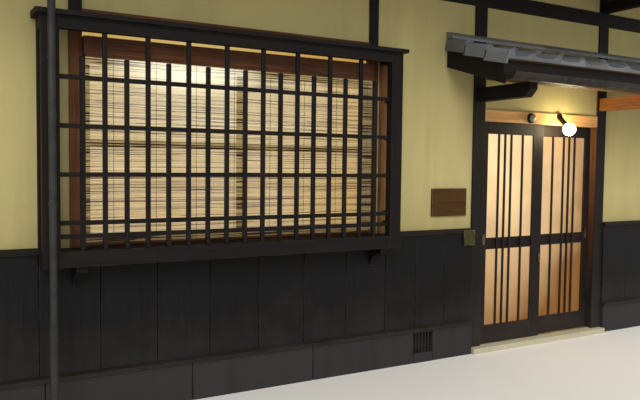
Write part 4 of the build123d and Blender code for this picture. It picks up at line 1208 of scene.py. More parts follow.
@dataclass
class Studio:
    """Camera, soft lights, pale floor and white surroundings."""

    eye: tuple[float, float, float] = (-3.036, -8.105, 1.532)
    turn: float = 29.54  # degrees to the right of the front's own direction
    tip: float = 2.92  # degrees down
    roll: float = 0.67
    focal_pixels: float = 679.5
    picture_width: int = 640
    sensor: float = 36.0
    floor_size: float = 120.0
    sky: float = 0.88
    heading: tuple[float, float, float] = (1.0, 1.9, -1.5)  # the way that the sun's light goes
    spread: float = 34.0  # how many degrees of the sky the sun fills, which softens its shadows
    strength: float = 1.75

    SOFT = (1.0, 0.99, 0.97)
    WHITE = (1.0, 1.0, 1.0)

    def build(self) -> None:
        """Sets up everything that isn't the house."""
        self.camera()
        self.floor()
        self.surroundings()
        self.sun()

    def camera(self) -> None:
        """A camera where the photograph was taken from."""
        data = bpy.data.cameras.new("camera")
        data.sensor_width = self.sensor
        data.lens = self.focal_pixels / self.picture_width * self.sensor
        data.clip_end = 3 * self.floor_size
        made = bpy.data.objects.new("camera", data)
        turned = Matrix.Rotation(math.radians(-self.turn), 4, "Z")
        tipped = Matrix.Rotation(math.radians(90 - self.tip), 4, "X")
        rolled = Matrix.Rotation(math.radians(self.roll), 4, "Z")
        made.matrix_world = Matrix.Translation(self.eye) @ turned @ tipped @ rolled
        bpy.context.scene.collection.objects.link(made)
        bpy.context.scene.camera = made

    def floor(self) -> None:
        """A plain pale floor."""
        half = self.floor_size / 2
        mesh = bpy.data.meshes.new("floor")
        corners = [(-half, -half, 0), (half, -half, 0), (half, half, 0), (-half, half, 0)]
        mesh.from_pydata(corners, [], [(0, 1, 2, 3)])
        mesh.materials.append(FLOOR.material())
        made = bpy.data.objects.new("floor", mesh)
        bpy.context.scene.collection.objects.link(made)

    def surroundings(self) -> None:
        """A soft even sky that the camera, reflections and glass see as white."""
        world = bpy.data.worlds.new("studio")
        world.use_nodes = True
        world.node_tree.nodes.clear()
        w = Wiring(world.node_tree)
        path = w.node("ShaderNodeLightPath").outputs
        seen = w.maths("MAXIMUM", path["Is Camera Ray"], path["Is Glossy Ray"])
        seen = w.maths("MAXIMUM", seen, path["Is Transmission Ray"])
        soft = w.node("ShaderNodeBackground", {"Color": opaque(self.SOFT), "Strength": self.sky})
        white = w.node("ShaderNodeBackground", {"Color": opaque(self.WHITE), "Strength": 1.0})
        both = w.node("ShaderNodeMixShader", {0: seen, 1: soft.outputs[0], 2: white.outputs[0]})
        w.node("ShaderNodeOutputWorld", {"Surface": both.outputs[0]})
        bpy.context.scene.world = world

    def sun(self) -> None:
        """A far, broad and soft light."""
        data = bpy.data.lights.new("key_light", "SUN")
        data.angle = math.radians(self.spread)
        data.energy = self.strength
        made = bpy.data.objects.new("key_light", data)
        made.rotation_euler = Vector(self.heading).to_track_quat("-Z", "Y").to_euler()
        bpy.context.scene.collection.objects.link(made)


@dataclass
class StoneBase:
    """Plinth of long stones with a barred vent, the entrance sill and the beaten floor."""

    stone_length: float = 0.9
    joint: float = 0.004
    chamfer: float = 0.006
    depth: float = 0.175
    vent_from_door: Span = (0.597, 0.410)  # its two sides, measured left from the entrance
    vent_height: Span = (0.075, 0.235)
    vent_bars: int = 5
    vent_depth: float = 0.07
    bar: float = 0.006
    bar_set_back: float = 0.02

    def build(self) -> None:
        """Builds the stones and the vent, and dresses what the model has."""
        low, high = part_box("plinth")
        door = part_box("door_sill_stone")
        left, right = door[0].x, door[1].x
        vent = (left - self.vent_from_door[0], left - self.vent_from_door[1])
        front, back = low.y + self.depth, high.y - self.depth
        sizes = (self.stone_length, self.joint, self.chamfer)
        base = Sketch()
        for start, end in ((low.x, vent[0]), (vent[1], left), (right, high.x)):
            base.row(0, (start, low.y, 0.0), (end, front, high.z), sizes)
        base.row(0, (low.x, back, 0.0), high, sizes)
        for start, end in ((low.x, low.x + self.depth), (high.x - self.depth, high.x)):
            base.row(1, (start, front, 0.0), (end, back, high.z), sizes)
        self.vent(base, vent, (low.y, front), high.z)
        base.piece("plinth_stones", (PLINTH_STONE, LAMP_METAL), ("plinth",))
        dress(SILL_STONE, "door_sill_stone")
        dress(EARTH, "ground_floor")

    def vent(self, base: Sketch, x: Span, y: Span, top: float) -> None:
        """Adds the stones round the vent, and its iron bars.

        Args:
            base: where they go.
            x: the vent's sides.
            y: the faces of the plinth.
            top: the height of the plinth.
        """
        foot, head = self.vent_height
        base.block((x[0], y[0], 0.0), (x[1], y[1], foot), self.chamfer / 2)
        base.block((x[0], y[0], head), (x[1], y[1], top), self.chamfer / 2)
        base.block((x[0], y[0] + self.vent_depth, foot), (x[1], y[1], head), self.chamfer / 2)
        for middle in evenly(*x, (x[1] - x[0]) / (self.vent_bars + 1))[1:-1]:
            ends = [Vector((middle, y[0] + self.bar_set_back, z)) for z in (foot, head)]
            base.tube(ends, self.bar, coat=1)


@dataclass
class TimberFrame:
    """Posts, beams, sills, floors and arms."""

    def build(self) -> None:
        """Dresses the frame."""
        dress(POSTS, "posts")
        dress(BEAMS, "ground_sills", "wall_beams", "dado_rails", "edge_boards")
        dress(ARMS, "eave_arms")
        dress(CANOPY_ARMS, "canopy_arms")
        dress(FLOOR_WOOD, "upper_floor")
        dress(PURLIN_WOOD, "roof_purlins", "eave_purlins", "canopy_purlin")
        dress(RAFTER_WOOD, "roof_rafters", "eave_rafters", "canopy_rafters")
        dress(ROOF_BOARDS, "roof_boards", "eave_boards", "canopy_boards")


@dataclass
class Walls:
    """Plaster between the posts, party walls and the upper and back windows."""

    def build(self) -> None:
        """Dresses the walls and windows."""
        dress(CLAY_PLASTER, "front_plaster", "back_plaster")
        dress(PARTY_PLASTER, "party_walls")
        dress(LATTICE, "upper_lattices")
        dress(CLEAR_GLASS, "upper_and_back_glass")


@dataclass
class Dado:
    """Wide upright boards below the plaster."""

    board: float = 0.333
    joint: float = 0.003
    chamfer: float = 0.003

    def build(self) -> None:
        """Builds the boards of the front and the back."""
        low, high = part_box("dado_boards")
        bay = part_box("bay_posts")
        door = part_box("door_sill_stone")
        sizes = (self.board, self.joint, self.chamfer)
        runs = (
            (low.x, bay[0].x, high.z), (bay[0].x, bay[1].x, bay[0].z),
            (bay[1].x, door[0].x, high.z), (door[1].x, high.x, high.z),
        )
        boards = Sketch()
        for start, end, top in runs:
            boards.row(0, (start, low.y, low.z), (end, FRONT, top), sizes)
        boards.row(0, (low.x, BACK, low.z), high, sizes)
        boards.piece("dado_planks", (DADO_WOOD,), ("dado_boards",))


@dataclass
class LatticeWindow:
    """The projecting window: lattice bars let into rails, timbers, sashes and the reed blind."""

    bars: int = 17
    bar: tuple[float, float] = (0.027, 0.024)  # width and depth
    rail: tuple[float, float] = (0.027, 0.011)  # height and depth
    rail_tops: tuple[float, ...] = (2.024, 1.751, 1.477, 1.203, 1.126)
    short_top: float = 2.130
    chamfer: float = 0.0025
    reed_pitch: float = 0.0066
    reed_radius: float = 0.0026
    reed_sizes: Span = (0.72, 1.12)  # the thinnest and thickest reed, as shares of that radius
    reed_bow: float = 0.0012
    reed_shake: float = 0.0004
    reed_parts: int = 8
    batten: float = 0.015
    foot_batten: Span = (0.004, 0.012)  # half its depth, and its height
    threads: int = 8
    thread_margin: float = 0.16
    thread_pitch: float = 0.258
    thread_radius: float = 0.0011
    seed: int = 7

    WAVE = (5.0, 40.0)  # how a reed's bow changes along it, and from reed to reed

    def build(self) -> None:
        """Builds the lattices and the blind, and dresses what the model has."""
        self.front_lattice()
        self.side_lattices()
        self.blind()
        dress(BAY_POSTS, "bay_posts")
        dress(LATTICE, "bay_brackets")
        dress(LATTICE_RAILS, "bay_rails", "bay_boards")
        dress(WINDOW_WOOD, "window_timbers")
        dress(SASH_WOOD, "window_sashes")
        dress(WINDOW_GLOW, "bay_window_glass")

    def front_lattice(self) -> None:
        """Long and short bars across the front, with rails through them."""
        low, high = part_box("bay_lattice")
        depth = (low.y + high.y) / 2
        half, thin = self.bar[0] / 2, self.rail[1] / 2
        near, far = depth - thin, depth + thin
        lattice = Sketch()
        marks = evenly(low.x, high.x, (high.x - low.x) / (self.bars + 1))[1:-1]
        for i, middle in enumerate(marks):
            top = self.short_top if i % 2 == 0 else high.z
            lattice.block((middle - half, low.y, low.z), (middle + half, high.y, top), self.chamfer)
        for top in self.rail_tops:
            lattice.block((low.x, near, top - self.rail[0]), (high.x, far, top), self.chamfer / 2, coat=1)
        lattice.piece("lattice_bars", (LATTICE, LATTICE_RAILS), ("bay_lattice",))

    def side_lattices(self) -> None:
        """One bar and its rails at each side of the projecting window."""
        low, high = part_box("bay_side_lattices")
        depth = (low.y + high.y) / 2
        half, wide, thin = self.bar[1] / 2, self.bar[0] / 2, self.rail[1] / 2
        lattice = Sketch()
        for middle in (low.x + half, high.x - half):
            foot, top = (middle - half, depth - wide, low.z), (middle + half, depth + wide, high.z)
            lattice.block(foot, top, self.chamfer)
            for level in self.rail_tops:
                foot, top = (middle - thin, low.y, level - self.rail[0]), (middle + thin, high.y, level)
                lattice.block(foot, top, self.chamfer / 2, coat=1)
        lattice.piece("side_lattice_bars", (LATTICE, ARMS), ("bay_side_lattices",))

    def blind(self) -> None:
        """Reeds sewn together by threads, hung from a batten."""
        low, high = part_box("reed_blind")
        depth = (low.y + high.y) / 2
        dice = random.Random(self.seed)
        blind = Sketch()
        foot = low.z + self.batten
        levels = evenly(foot, high.z - self.batten, self.reed_pitch)
        marks = evenly(low.x, high.x, (high.x - low.x) / self.reed_parts)
        for level in levels:
            radius = self.reed_radius * dice.uniform(*self.reed_sizes)
            bow = dice.uniform(-self.reed_bow, self.reed_bow)
            path = []
            for x in marks:
                wave = math.sin(self.WAVE[0] * (x - low.x) + self.WAVE[1] * level)
                lift = bow * wave + dice.uniform(-self.reed_shake, self.reed_shake)
                out = dice.uniform(-self.reed_shake, self.reed_shake)
                path.append(Vector((x, depth + out, level + lift)))
            blind.tube(path, radius, sides=5)
        blind.block((low.x, low.y, high.z - self.batten), high, coat=1)
        half, tall = self.foot_batten
        corner, end = (low.x, depth - half, low.z), (high.x, depth + half, low.z + tall)
        blind.block(corner, end, chamfer=0.001, coat=1)
        for i in range(self.threads):
            x = low.x + self.thread_margin + i * self.thread_pitch
            for side in (-1, 1):
                path = []
                for j, level in enumerate(levels):
                    out = side * (1 if j % 2 else -1) * (self.reed_radius + self.thread_radius)
                    path.append(Vector((x + side * self.thread_radius, depth + out, level)))
                blind.tube(path, self.thread_radius, sides=3, coat=2)
        finishes = (REED, WINDOW_WOOD, THREAD)
        blind.piece("reed_blind_reeds", finishes, ("reed_blind",))


@dataclass
class DoorLeaf:
    """The timbers of one sliding leaf: stiles, rails, bars, and the tongue and runners that guide it."""

    body: Body
    node: str
    stiles: Span  # widths of the left and the right one
    mirrored: bool
    bottom_rail: float = 0.154
    middle_rail: float = 0.098
    top_rail: float = 0.095
    lower_glass: float = 0.640
    bar: tuple[float, float] = (0.018, 0.013)  # width and depth
    narrow_gap: float = 0.053
    tongue: tuple[float, float] = (0.018, 0.017)  # thickness and height
    groove: tuple[float, float] = (0.020, 0.013)  # width and height
    runner: tuple[float, float, float] = (0.070, 0.012, 0.0097)  # length, thickness and height
    chamfer: float = 0.002

    UPRIGHT, ALONG = 0, 1  # the finish of the stiles and bars, and that of the rails

    def build(self) -> None:
        """Builds the leaf in the place of the model's."""
        low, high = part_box(self.node)
        foot, top = low.z, high.z - self.tongue[1]
        y = (low.y, high.y)
        inside = (low.x + self.stiles[0], high.x - self.stiles[1])
        leaf = Sketch()
        self.grooved(leaf, (low.x, inside[0]), y, (foot, top), self.UPRIGHT)
        self.grooved(leaf, (inside[1], high.x), y, (foot, top), self.UPRIGHT)
        self.grooved(leaf, inside, y, (foot, foot + self.bottom_rail), self.ALONG)
        rail_foot = foot + self.bottom_rail + self.lower_glass
        corner = (inside[0], low.y + self.bar[1], rail_foot)
        leaf.block(corner, (inside[1], high.y, rail_foot + self.middle_rail), self.chamfer, self.ALONG)
        corner = (inside[0], low.y, top - self.top_rail)
        leaf.block(corner, (inside[1], high.y, top), self.chamfer, self.ALONG)
        for start in self.bar_starts(inside):
            corner = (start, low.y, foot + self.bottom_rail)
            end = (start + self.bar[0], low.y + self.bar[1], top - self.top_rail)
            leaf.block(corner, end, self.chamfer / 2)
        self.guides(leaf, (low.x, high.x), (low.y + high.y) / 2, foot, top)
        name = f"{self.body.value}_timbers"
        leaf.piece(name, (DOOR_WOOD, DOOR_RAILS), (self.node,), self.body)

    def bar_starts(self, inside: Span) -> list[float]:
        """Where the four bars start. Two of the five gaps between the stiles are narrow.

        Args:
            inside: the X span between the stiles.

        Returns:
            The X of each bar's left side.
        """
        narrow = self.narrow_gap
        wide = (inside[1] - inside[0] - 4 * self.bar[0] - 2 * narrow) / 3
        gaps = (wide, wide, narrow, narrow) if self.mirrored else (wide, narrow, narrow, wide)
        starts = []
        at = inside[0]
        for gap in gaps:
            starts.append(at + gap)
            at += gap + self.bar[0]
        return starts

    def grooved(self, leaf: Sketch, x: Span, y: Span, z: Span, coat: int) -> None:
        """A stile or rail with the track's groove in its underside.

        Args:
            leaf: where it goes.
            x: its left and right sides.
            y: its faces.
            z: its foot and top.
            coat: which of the piece's finishes it takes.
        """
        middle, half, roof = sum(y) / 2, self.groove[0] / 2, z[0] + self.groove[1]
        cut = self.chamfer
        sections = []
        for at, inset in ((x[0], cut), (x[0] + cut, 0.0), (x[1] - cut, 0.0), (x[1], cut)):
            front, rear = y[0] + inset, y[1] - inset
            outline = [(front, z[0]), (middle - half, z[0]), (middle - half, roof), (middle + half, roof)]
            outline += [(middle + half, z[0]), (rear, z[0]), (rear, z[1]), (front, z[1])]
            sections.append([Vector((at, *spot)) for spot in outline])
        leaf.loft(sections, coat)

    def guides(self, leaf: Sketch, x: Span, middle: float, foot: float, top: float) -> None:
        """The tongue that runs in the head, and two runners on the track.

        Args:
            leaf: where they go.
            x: the leaf's sides.
            middle: the Y of the leaf's middle.
            foot: the height of its underside.
            top: the height of its upper side.
        """
        half = self.tongue[0] / 2
        corner, end = (x[0], middle - half, top), (x[1], middle + half, top + self.tongue[1])
        leaf.block(corner, end, self.chamfer / 2)
        long, thick, tall = self.runner
        roof = foot + self.groove[1]
        for at in (x[0] + long, x[1] - long):
            corner = (at - long / 2, middle - thick / 2, roof - tall)
            leaf.block(corner, (at + long / 2, middle + thick / 2, roof), self.chamfer / 2)


@dataclass
class Entrance:
    """Sliding leaves with their pulls, and the head and rails that guide them."""

    leaves: tuple[DoorLeaf, ...] = (
        DoorLeaf(Body.LEFT_LEAF, "left_leaf_frame", (0.060, 0.121), mirrored=False),
        DoorLeaf(Body.RIGHT_LEAF, "right_leaf_frame", (0.087, 0.072), mirrored=True),
    )
    pull: tuple[float, float] = (0.026, 0.090)
    pull_height: float = 0.93
    pull_proud: float = 0.002
    pull_rim: Span = (0.003, 0.006)  # where the rim ends and where the dish is level, inside the edge
    pull_dish: float = 0.0004
    pull_marks: int = 24
    lock_inset: float = 0.0225  # the middle of the lock plate from the leaf's edge
    lock: tuple[float, float, float] = (0.020, 0.010, 0.075)  # width, depth and height
    lock_height: float = 0.705
    knob_place: float = 0.62  # how far up the lock plate the knob is

    KNOB = ((0.0, 0.0), (0.007, 0.0), (0.007, 0.002), (0.004, 0.004), (0.0, 0.004))

    def build(self) -> None:
        """Builds the fittings of the leaves and dresses them."""
        # the door head's colour carries painted light from the entrance lamp
        dress(LAMPLIT_HEAD_WOOD, "door_head")
        dress(TRACK_BRASS, "door_tracks")
        dress(DOOR_GLOW, "left_leaf_glass", "right_leaf_glass")
        for leaf in self.leaves:
            leaf.build()
            self.fittings(leaf)

    def fittings(self, leaf: DoorLeaf) -> None:
        """A finger pull in the outer stile of a leaf, and a lock plate near the left leaf's other edge.

        Args:
            leaf: the leaf.
        """
        low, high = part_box(leaf.node)
        fittings = Sketch()
        outer = high.x - leaf.stiles[1] / 2 if leaf.mirrored else low.x + leaf.stiles[0] / 2
        self.finger_pull(fittings, outer, low.y, self.pull_height)
        if not leaf.mirrored:
            x = high.x - self.lock_inset
            wide, proud, tall = self.lock
            corner = (x - wide / 2, low.y - proud, self.lock_height)
            fittings.block(corner, (x + wide / 2, low.y, self.lock_height + tall), chamfer=0.003)
            knob = Matrix.Translation((x, low.y - proud, self.lock_height + tall * self.knob_place))
            fittings.lathe(self.KNOB, knob @ Matrix.Rotation(math.radians(90), 4, "X"), steps=20)
        fittings.piece(f"{leaf.body.value}_fittings", (PULL_METAL,), body=leaf.body)

    def finger_pull(self, fittings: Sketch, x: float, face: float, middle: float) -> None:
        """A dished plate let into the stile, with a raised rim.

        Args:
            fittings: where it goes.
            x: its middle.
            face: the Y of the stile's face.
            middle: the height of its middle.
        """
        half, tall = self.pull[0] / 2, self.pull[1] / 2
        rim, level = self.pull_rim
        proud = -self.pull_proud
        sections = []
        for inset, out in ((0.0, 0.0), (0.0, proud), (rim, proud), (level, -self.pull_dish)):
            outline = []
            for across, rise in round_marks(self.pull_marks):
                straight = (tall - half) * (1 if rise >= 0 else -1)
                spot = (x + (half - inset) * across, face + out, middle + (half - inset) * rise + straight)
                outline.append(Vector(spot))
            sections.append(outline)
        fittings.loft(sections)


@dataclass
class TileSlope:
    """One slope of pantiles in courses, closed underneath, with its verge tiles.

    The slope's own directions are along the eave, down the slope and out of its surface.
    """

    x: Span
    side: int  # -1 on the street, 1 at the back
    top: Span  # distance from the middle of the house and height of the slab's top, at its upper edge
    foot: float  # distance from the middle of the house, at its lower edge
    pitch: float
    thick: float
    tile: float = 0.265
    exposure: float = 0.235
    lift: float = 0.022
    wave: float = 0.030
    stands: Span = (-0.0015, 0.002)  # how far a tile stands out of true
    slips: Span = (-0.003, 0.003)  # how far it lies down the slope out of true
    seed: int = 3

    verge_shell: float = 0.016
    verge_drop: float = 0.055
    verge_roll: float = 0.034
    verge_crown: Span = (0.6, 0.75)  # where the roll starts, as a share of the wave, and how round it is
    verge_inner: float = 0.004
    verge_parts: int = 6
    verge_lap: Span = (0.004, 0.006)  # how far a verge tile reaches past its course, up and down the slope

    lean: float = field(init=False)  # the pitch as an angle
    length: float = field(init=False)  # down the slope
    courses: int = field(init=False)
    columns: int = field(init=False)
    wide: float = field(init=False)  # one tile's width
    step: float = field(init=False)  # how much of each tile shows
    base: float = field(init=False)  # the slab's thickness under the waves
    under: float = field(init=False)  # the height of its underside at the upper edge

    # Across one tile: share of its width, share of the wave's height
    PROFILE = (
        (0.000, 0.30), (0.12, 0.12), (0.34, 0.00), (0.54, 0.08), (0.69, 0.34),
        (0.75, 0.72), (0.84, 1.00), (0.92, 0.90), (0.975, 0.62), (0.995, 0.44),
    )

    def __post_init__(self) -> None:
        """Works out the slope's directions, its length and its tiles."""
        self.lean = math.atan(self.pitch)
        self.length = (self.foot - self.top[0]) / math.cos(self.lean)
        self.courses = max(2, round(self.length / self.exposure))
        self.columns = max(2, round((self.x[1] - self.x[0]) / self.tile))
        self.wide = (self.x[1] - self.x[0]) / self.columns
        self.step = self.length / self.courses
        self.base = self.thick - self.lift - self.wave
        self.under = self.top[1] - self.thick / math.cos(self.lean)

    def finish(self, name: str) -> RoofTile:
        """The tile finish that changes its tone from tile to tile of this slope.

        Args:
            name: the finish's name.

        Returns:
            The finish.
        """
        plan = (self.foot - self.top[0]) / self.courses
        return RoofTile(name, (self.x[0], self.top[0]), (self.wide, plan))

    def point(self, along: float, down: float, out: float) -> Vector:
        """A point of the slope, in the frame.

        Args:
            along: its X.
            down: how far it is down the slope from the upper edge.
            out: how far it is out of the slope, from the boards.

        Returns:
            The point.
        """
        away = self.top[0] + down * math.cos(self.lean) + out * math.sin(self.lean)
        height = self.under - down * math.sin(self.lean) + out * math.cos(self.lean)
        return Vector((along, self.side * away, height))

    def lay(self, tiles: Sketch) -> None:
        """Adds the courses of tiles as one closed sheet.

        Args:
            tiles: where they go.
        """
        dice = random.Random(self.seed)
        sections = []
        for column in range(self.columns):
            jolts = [(dice.uniform(*self.stands), dice.uniform(*self.slips)) for _ in range(self.courses)]
            for share, rise in self.PROFILE:
                sections.append(self.cut(self.x[0] + self.wide * (column + share), rise, jolts))
        sections.append(self.cut(self.x[1], self.PROFILE[0][1], jolts))
        tiles.loft(sections)

    def cut(self, along: float, rise: float, jolts: Sequence[Span]) -> list[Vector]:
        """The outline of the sheet where it is cut across the eave.

        Args:
            along: where the cut is.
            rise: the height of the wave there, as a share.
            jolts: how far each course of this column stands up and lies down the slope out of true.

        Returns:
            The outline, from the upper edge down over the courses and back underneath.
        """
        height = self.base + self.wave * rise
        outline = []
        for course, (up, slip) in enumerate(jolts):
            start = course * self.step + (jolts[course - 1][1] if course else 0.0)
            last = course == self.courses - 1
            end = (course + 1) * self.step + (0.0 if last else slip)
            outline.append(self.point(along, start, height + up))
            outline.append(self.point(along, end, height + up + self.lift))
        outline.append(self.point(along, self.length, 0.0))
        outline.append(self.point(along, 0.0, 0.0))
        return outline

    def verges(self, tiles: Sketch) -> None:
        """Adds the tiles with a hanging side at both ends of the courses.

        Args:
            tiles: where they go.
        """
        shell, drop, roll = self.verge_shell, self.verge_drop, self.verge_roll
        above, below = self.verge_lap
        start, round_share = self.verge_crown
        crown = self.base + self.wave * start
        for end, outward in ((self.x[0], -1), (self.x[1], 1)):
            outline = [(shell, -drop), (shell, crown)]
            for i in range(self.verge_parts + 1):
                turn = math.pi * i / self.verge_parts
                spot = (shell - roll + roll * math.cos(turn), crown + roll * round_share * math.sin(turn))
                outline.append(spot)
            outline += [(shell - 2 * roll, self.verge_inner), (0.0, self.verge_inner), (0.0, -drop)]
            for course in range(self.courses):
                upper_end = max(0.0, course * self.step - above)
                lower_end = (course + 1) * self.step + (0.0 if course == self.courses - 1 else below)
                upper = [self.point(end + outward * a, upper_end, b) for a, b in outline]
                lower = [self.point(end + outward * a, lower_end, b + self.lift) for a, b in outline]
                tiles.loft([upper, lower])


@dataclass
class Roofs:
    """Pantiles on the main roof, the lower eaves and the canopy, with the ridge and the copings."""

    main_pitch: float = 0.45
    eave_pitch: float = 0.4
    canopy_pitch: float = 0.3
    main_thick: float = 0.075
    eave_thick: float = 0.060
    canopy_thick: float = 0.050
    ridge_half: float = 0.15
    ridge_rise: float = 0.15
    cap_radius: float = 0.075
    cap_length: float = 0.27
    collar: float = 0.030
    collar_step: float = 0.006
    collar_edges: Span = (0.003, 0.004)  # how far its edges are taken off, along it and across
    flat_courses: int = 4
    flat_length: float = 0.3
    flat_start: float = 0.03  # the lowest course's height over the tiles
    flat_share: float = 0.72  # a flat tile's thickness, as a share of its course
    flat_past_cap: float = 0.012
    flat_joint: float = 0.002
    flat_chamfer: float = 0.005
    mortar_inset: Span = (0.025, 0.020)  # how far inside the flat tiles' foot and the caps it stays
    head_radius: float = 0.098
    head_marks: int = 24
    end_thick: float = 0.060
    waist: float = 0.78  # the end tile's width above its foot, as a share of the foot's
    waist_height: float = 0.05
    cheeks: Span = (1.02, 0.94)  # half the width of its flanks, as shares of the head's radius
    cheek_drop: float = 0.020
    face_slope: Span = (0.014, 0.006)  # how far in from its end the edge starts to slope and the face is
    face_share: float = 0.93  # the face's size, as a share of the tile's
    disc_set_in: float = 0.007

    DISC = ((0.0, 0.0), (0.062, 0.0), (0.062, 0.004), (0.054, 0.006), (0.046, 0.003), (0.0, 0.003))

    def build(self) -> None:
        """Builds the tiles and dresses the copings."""
        self.main_roof()
        self.lower_eaves()
        self.canopy()
        self.ridge()
        dress(COPING_TILE, "roof_copings")

    def main_roof(self) -> None:
        """Both slopes of the main roof."""
        low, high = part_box("roof_tiles")
        width, top = (low.x, high.x), (0.0, high.z)
        slopes = [
            TileSlope(width, side, top, high.y, self.main_pitch, self.main_thick, seed=seed)
            for side, seed in ((-1, 3), (1, 4))
        ]
        self.tiled(slopes, "main_roof_tiles", "main_smoked_tile", "roof_tiles")

    def lower_eaves(self) -> None:
        """The lower eaves, front and back."""
        low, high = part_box("eave_tiles")
        width, top = (low.x, high.x), (BACK, high.z)
        slopes = [
            TileSlope(width, side, top, high.y, self.eave_pitch, self.eave_thick, seed=seed)
            for side, seed in ((-1, 5), (1, 6))
        ]
        self.tiled(slopes, "lower_eave_tiles", "eave_smoked_tile", "eave_tiles")

    def canopy(self) -> None:
        """The little roof over the entrance."""
        low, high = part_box("canopy_tiles")
        slope = TileSlope(
            (low.x, high.x), -1, (-FRONT, high.z), -low.y, self.canopy_pitch, self.canopy_thick,
            lift=0.018, wave=0.026, exposure=0.22, seed=8,
        )
        self.tiled([slope], "entrance_canopy_tiles", "canopy_smoked_tile", "canopy_tiles")

    @staticmethod
    def tiled(slopes: Sequence[TileSlope], name: str, finish: str, node: str) -> None:
        """Lays the slopes of one roof.

        Args:
            slopes: one slope, or two that are alike but for their side.
            name: the piece's name.
            finish: the name of its finish.
            node: the node that it stands for.
        """
        tiles = Sketch()
        for slope in slopes:
            slope.lay(tiles)
            slope.verges(tiles)
        tiles.piece(name, (slopes[0].finish(finish),), (node,))

    def ridge(self) -> None:
        """Flat tiles in courses under round cap tiles, closed by an end tile at each gable."""
        low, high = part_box("roof_ridge")
        edge = high.x - self.end_thick
        apex = high.z - self.head_radius - self.ridge_rise
        foot = apex - self.main_pitch * self.ridge_half
        ridge = Sketch()
        self.mortar(ridge, edge, foot, apex)
        self.flat_tiles(ridge, edge, foot, apex)
        self.caps(ridge, edge, apex + self.ridge_rise)
        for side in (-1, 1):
            self.end_tile(ridge, side, edge, foot, apex + self.ridge_rise)
        ridge.piece("ridge_tiles", (COPING_TILE, RIDGE_CORE), ("roof_ridge",))

    def mortar(self, ridge: Sketch, edge: float, foot: float, apex: float) -> None:
        """The bed that the flat tiles lie in.

        Args:
            ridge: where it goes.
            edge: how far it reaches to each side.
            foot: the height of its foot.
            apex: the height of the roof's own apex.
        """
        wide = self.ridge_half - self.mortar_inset[0]
        narrow = self.cap_radius - self.mortar_inset[1]
        top = apex + self.ridge_rise
        outline = ((-wide, foot), (wide, foot), (narrow, top), (-narrow, top))
        ridge.loft([[Vector((x, y, z)) for y, z in outline] for x in (-edge, edge)], 1)

    def flat_tiles(self, ridge: Sketch, edge: float, foot: float, apex: float) -> None:
        """Courses of flat tiles, each narrower than the one below, with broken joints.

        Args:
            ridge: where they go.
            edge: how far they reach to each side.
            foot: the height of the ridge's foot.
            apex: the height of the roof's own apex.
        """
        rise = (apex + self.ridge_rise - foot - self.flat_start) / self.flat_courses
        narrowest = self.cap_radius + self.flat_past_cap
        gap = self.flat_joint / 2
        for course in range(self.flat_courses):
            share = course / (self.flat_courses - 1)
            half = self.ridge_half + (narrowest - self.ridge_half) * share
            z = foot + self.flat_start + rise * course
            marks = evenly(-edge, edge, self.flat_length)
            if course % 2:
                middles = [(start + end) / 2 for start, end in pairwise(marks)]
                marks = [marks[0], *middles, marks[-1]]
            for start, end in pairwise(marks):
                top = z + rise * self.flat_share
                ridge.block((start + gap, -half, z), (end - gap, half, top), self.flat_chamfer)

    def caps(self, ridge: Sketch, edge: float, height: float) -> None:
        """Round cap tiles with a collar at each joint.

        Args:
            ridge: where they go.
            edge: how far they reach to each side.
            height: the height of their axis.
        """
        radius = self.cap_radius
        inner = radius - self.collar_step
        sloped, rounded = self.collar_edges
        marks = evenly(-edge, edge, self.cap_length)
        for start, end in pairwise(marks):
            span = end - start
            neck = span - self.collar
            profile = [(0, 0), (inner, 0), (inner, neck), (radius, neck + sloped)]
            profile += [(radius, span - sloped), (radius - rounded, span), (0, span)]
            place = Matrix.Translation((start, 0, height)) @ Matrix.Rotation(math.radians(90), 4, "Y")
            ridge.lathe(profile, place, steps=24)

    def end_tile(self, ridge: Sketch, side: int, edge: float, foot: float, top: float) -> None:
        """A plain end tile with hollow sides, a round head and a raised disc.

        Args:
            ridge: where it goes.
            side: -1 at the left gable, 1 at the right one.
            edge: how far from the middle its inner face is.
            foot: the height of its foot.
            top: the height of its head's middle.
        """
        half, head = self.ridge_half, self.head_radius
        middle = (foot + top) / 2
        flank = [(half, foot), (half * self.waist, foot + self.waist_height)]
        flank += [(head * self.cheeks[0], middle), (head * self.cheeks[1], top - self.cheek_drop)]
        half_turn = round_marks(self.head_marks)[: self.head_marks // 2 + 1]
        arch = [(head * across, top + head * rise) for across, rise in half_turn]
        outline = [*flank, *arch, *((-y, z) for y, z in reversed(flank))]
        sections = []
        start, end = (self.end_thick - depth for depth in self.face_slope)
        for out, shrink in ((0.0, 1.0), (start, 1.0), (end, self.face_share)):
            ring = [(y * shrink, middle + (z - middle) * shrink) for y, z in outline]
            sections.append([Vector((side * (edge + out), y, z)) for y, z in ring])
        ridge.loft(sections)
        turn = Matrix.Rotation(math.radians(90 * side), 4, "Y")
        disc = Matrix.Translation((side * (edge + self.end_thick - self.disc_set_in), 0, top)) @ turn
        ridge.lathe(self.DISC, disc)


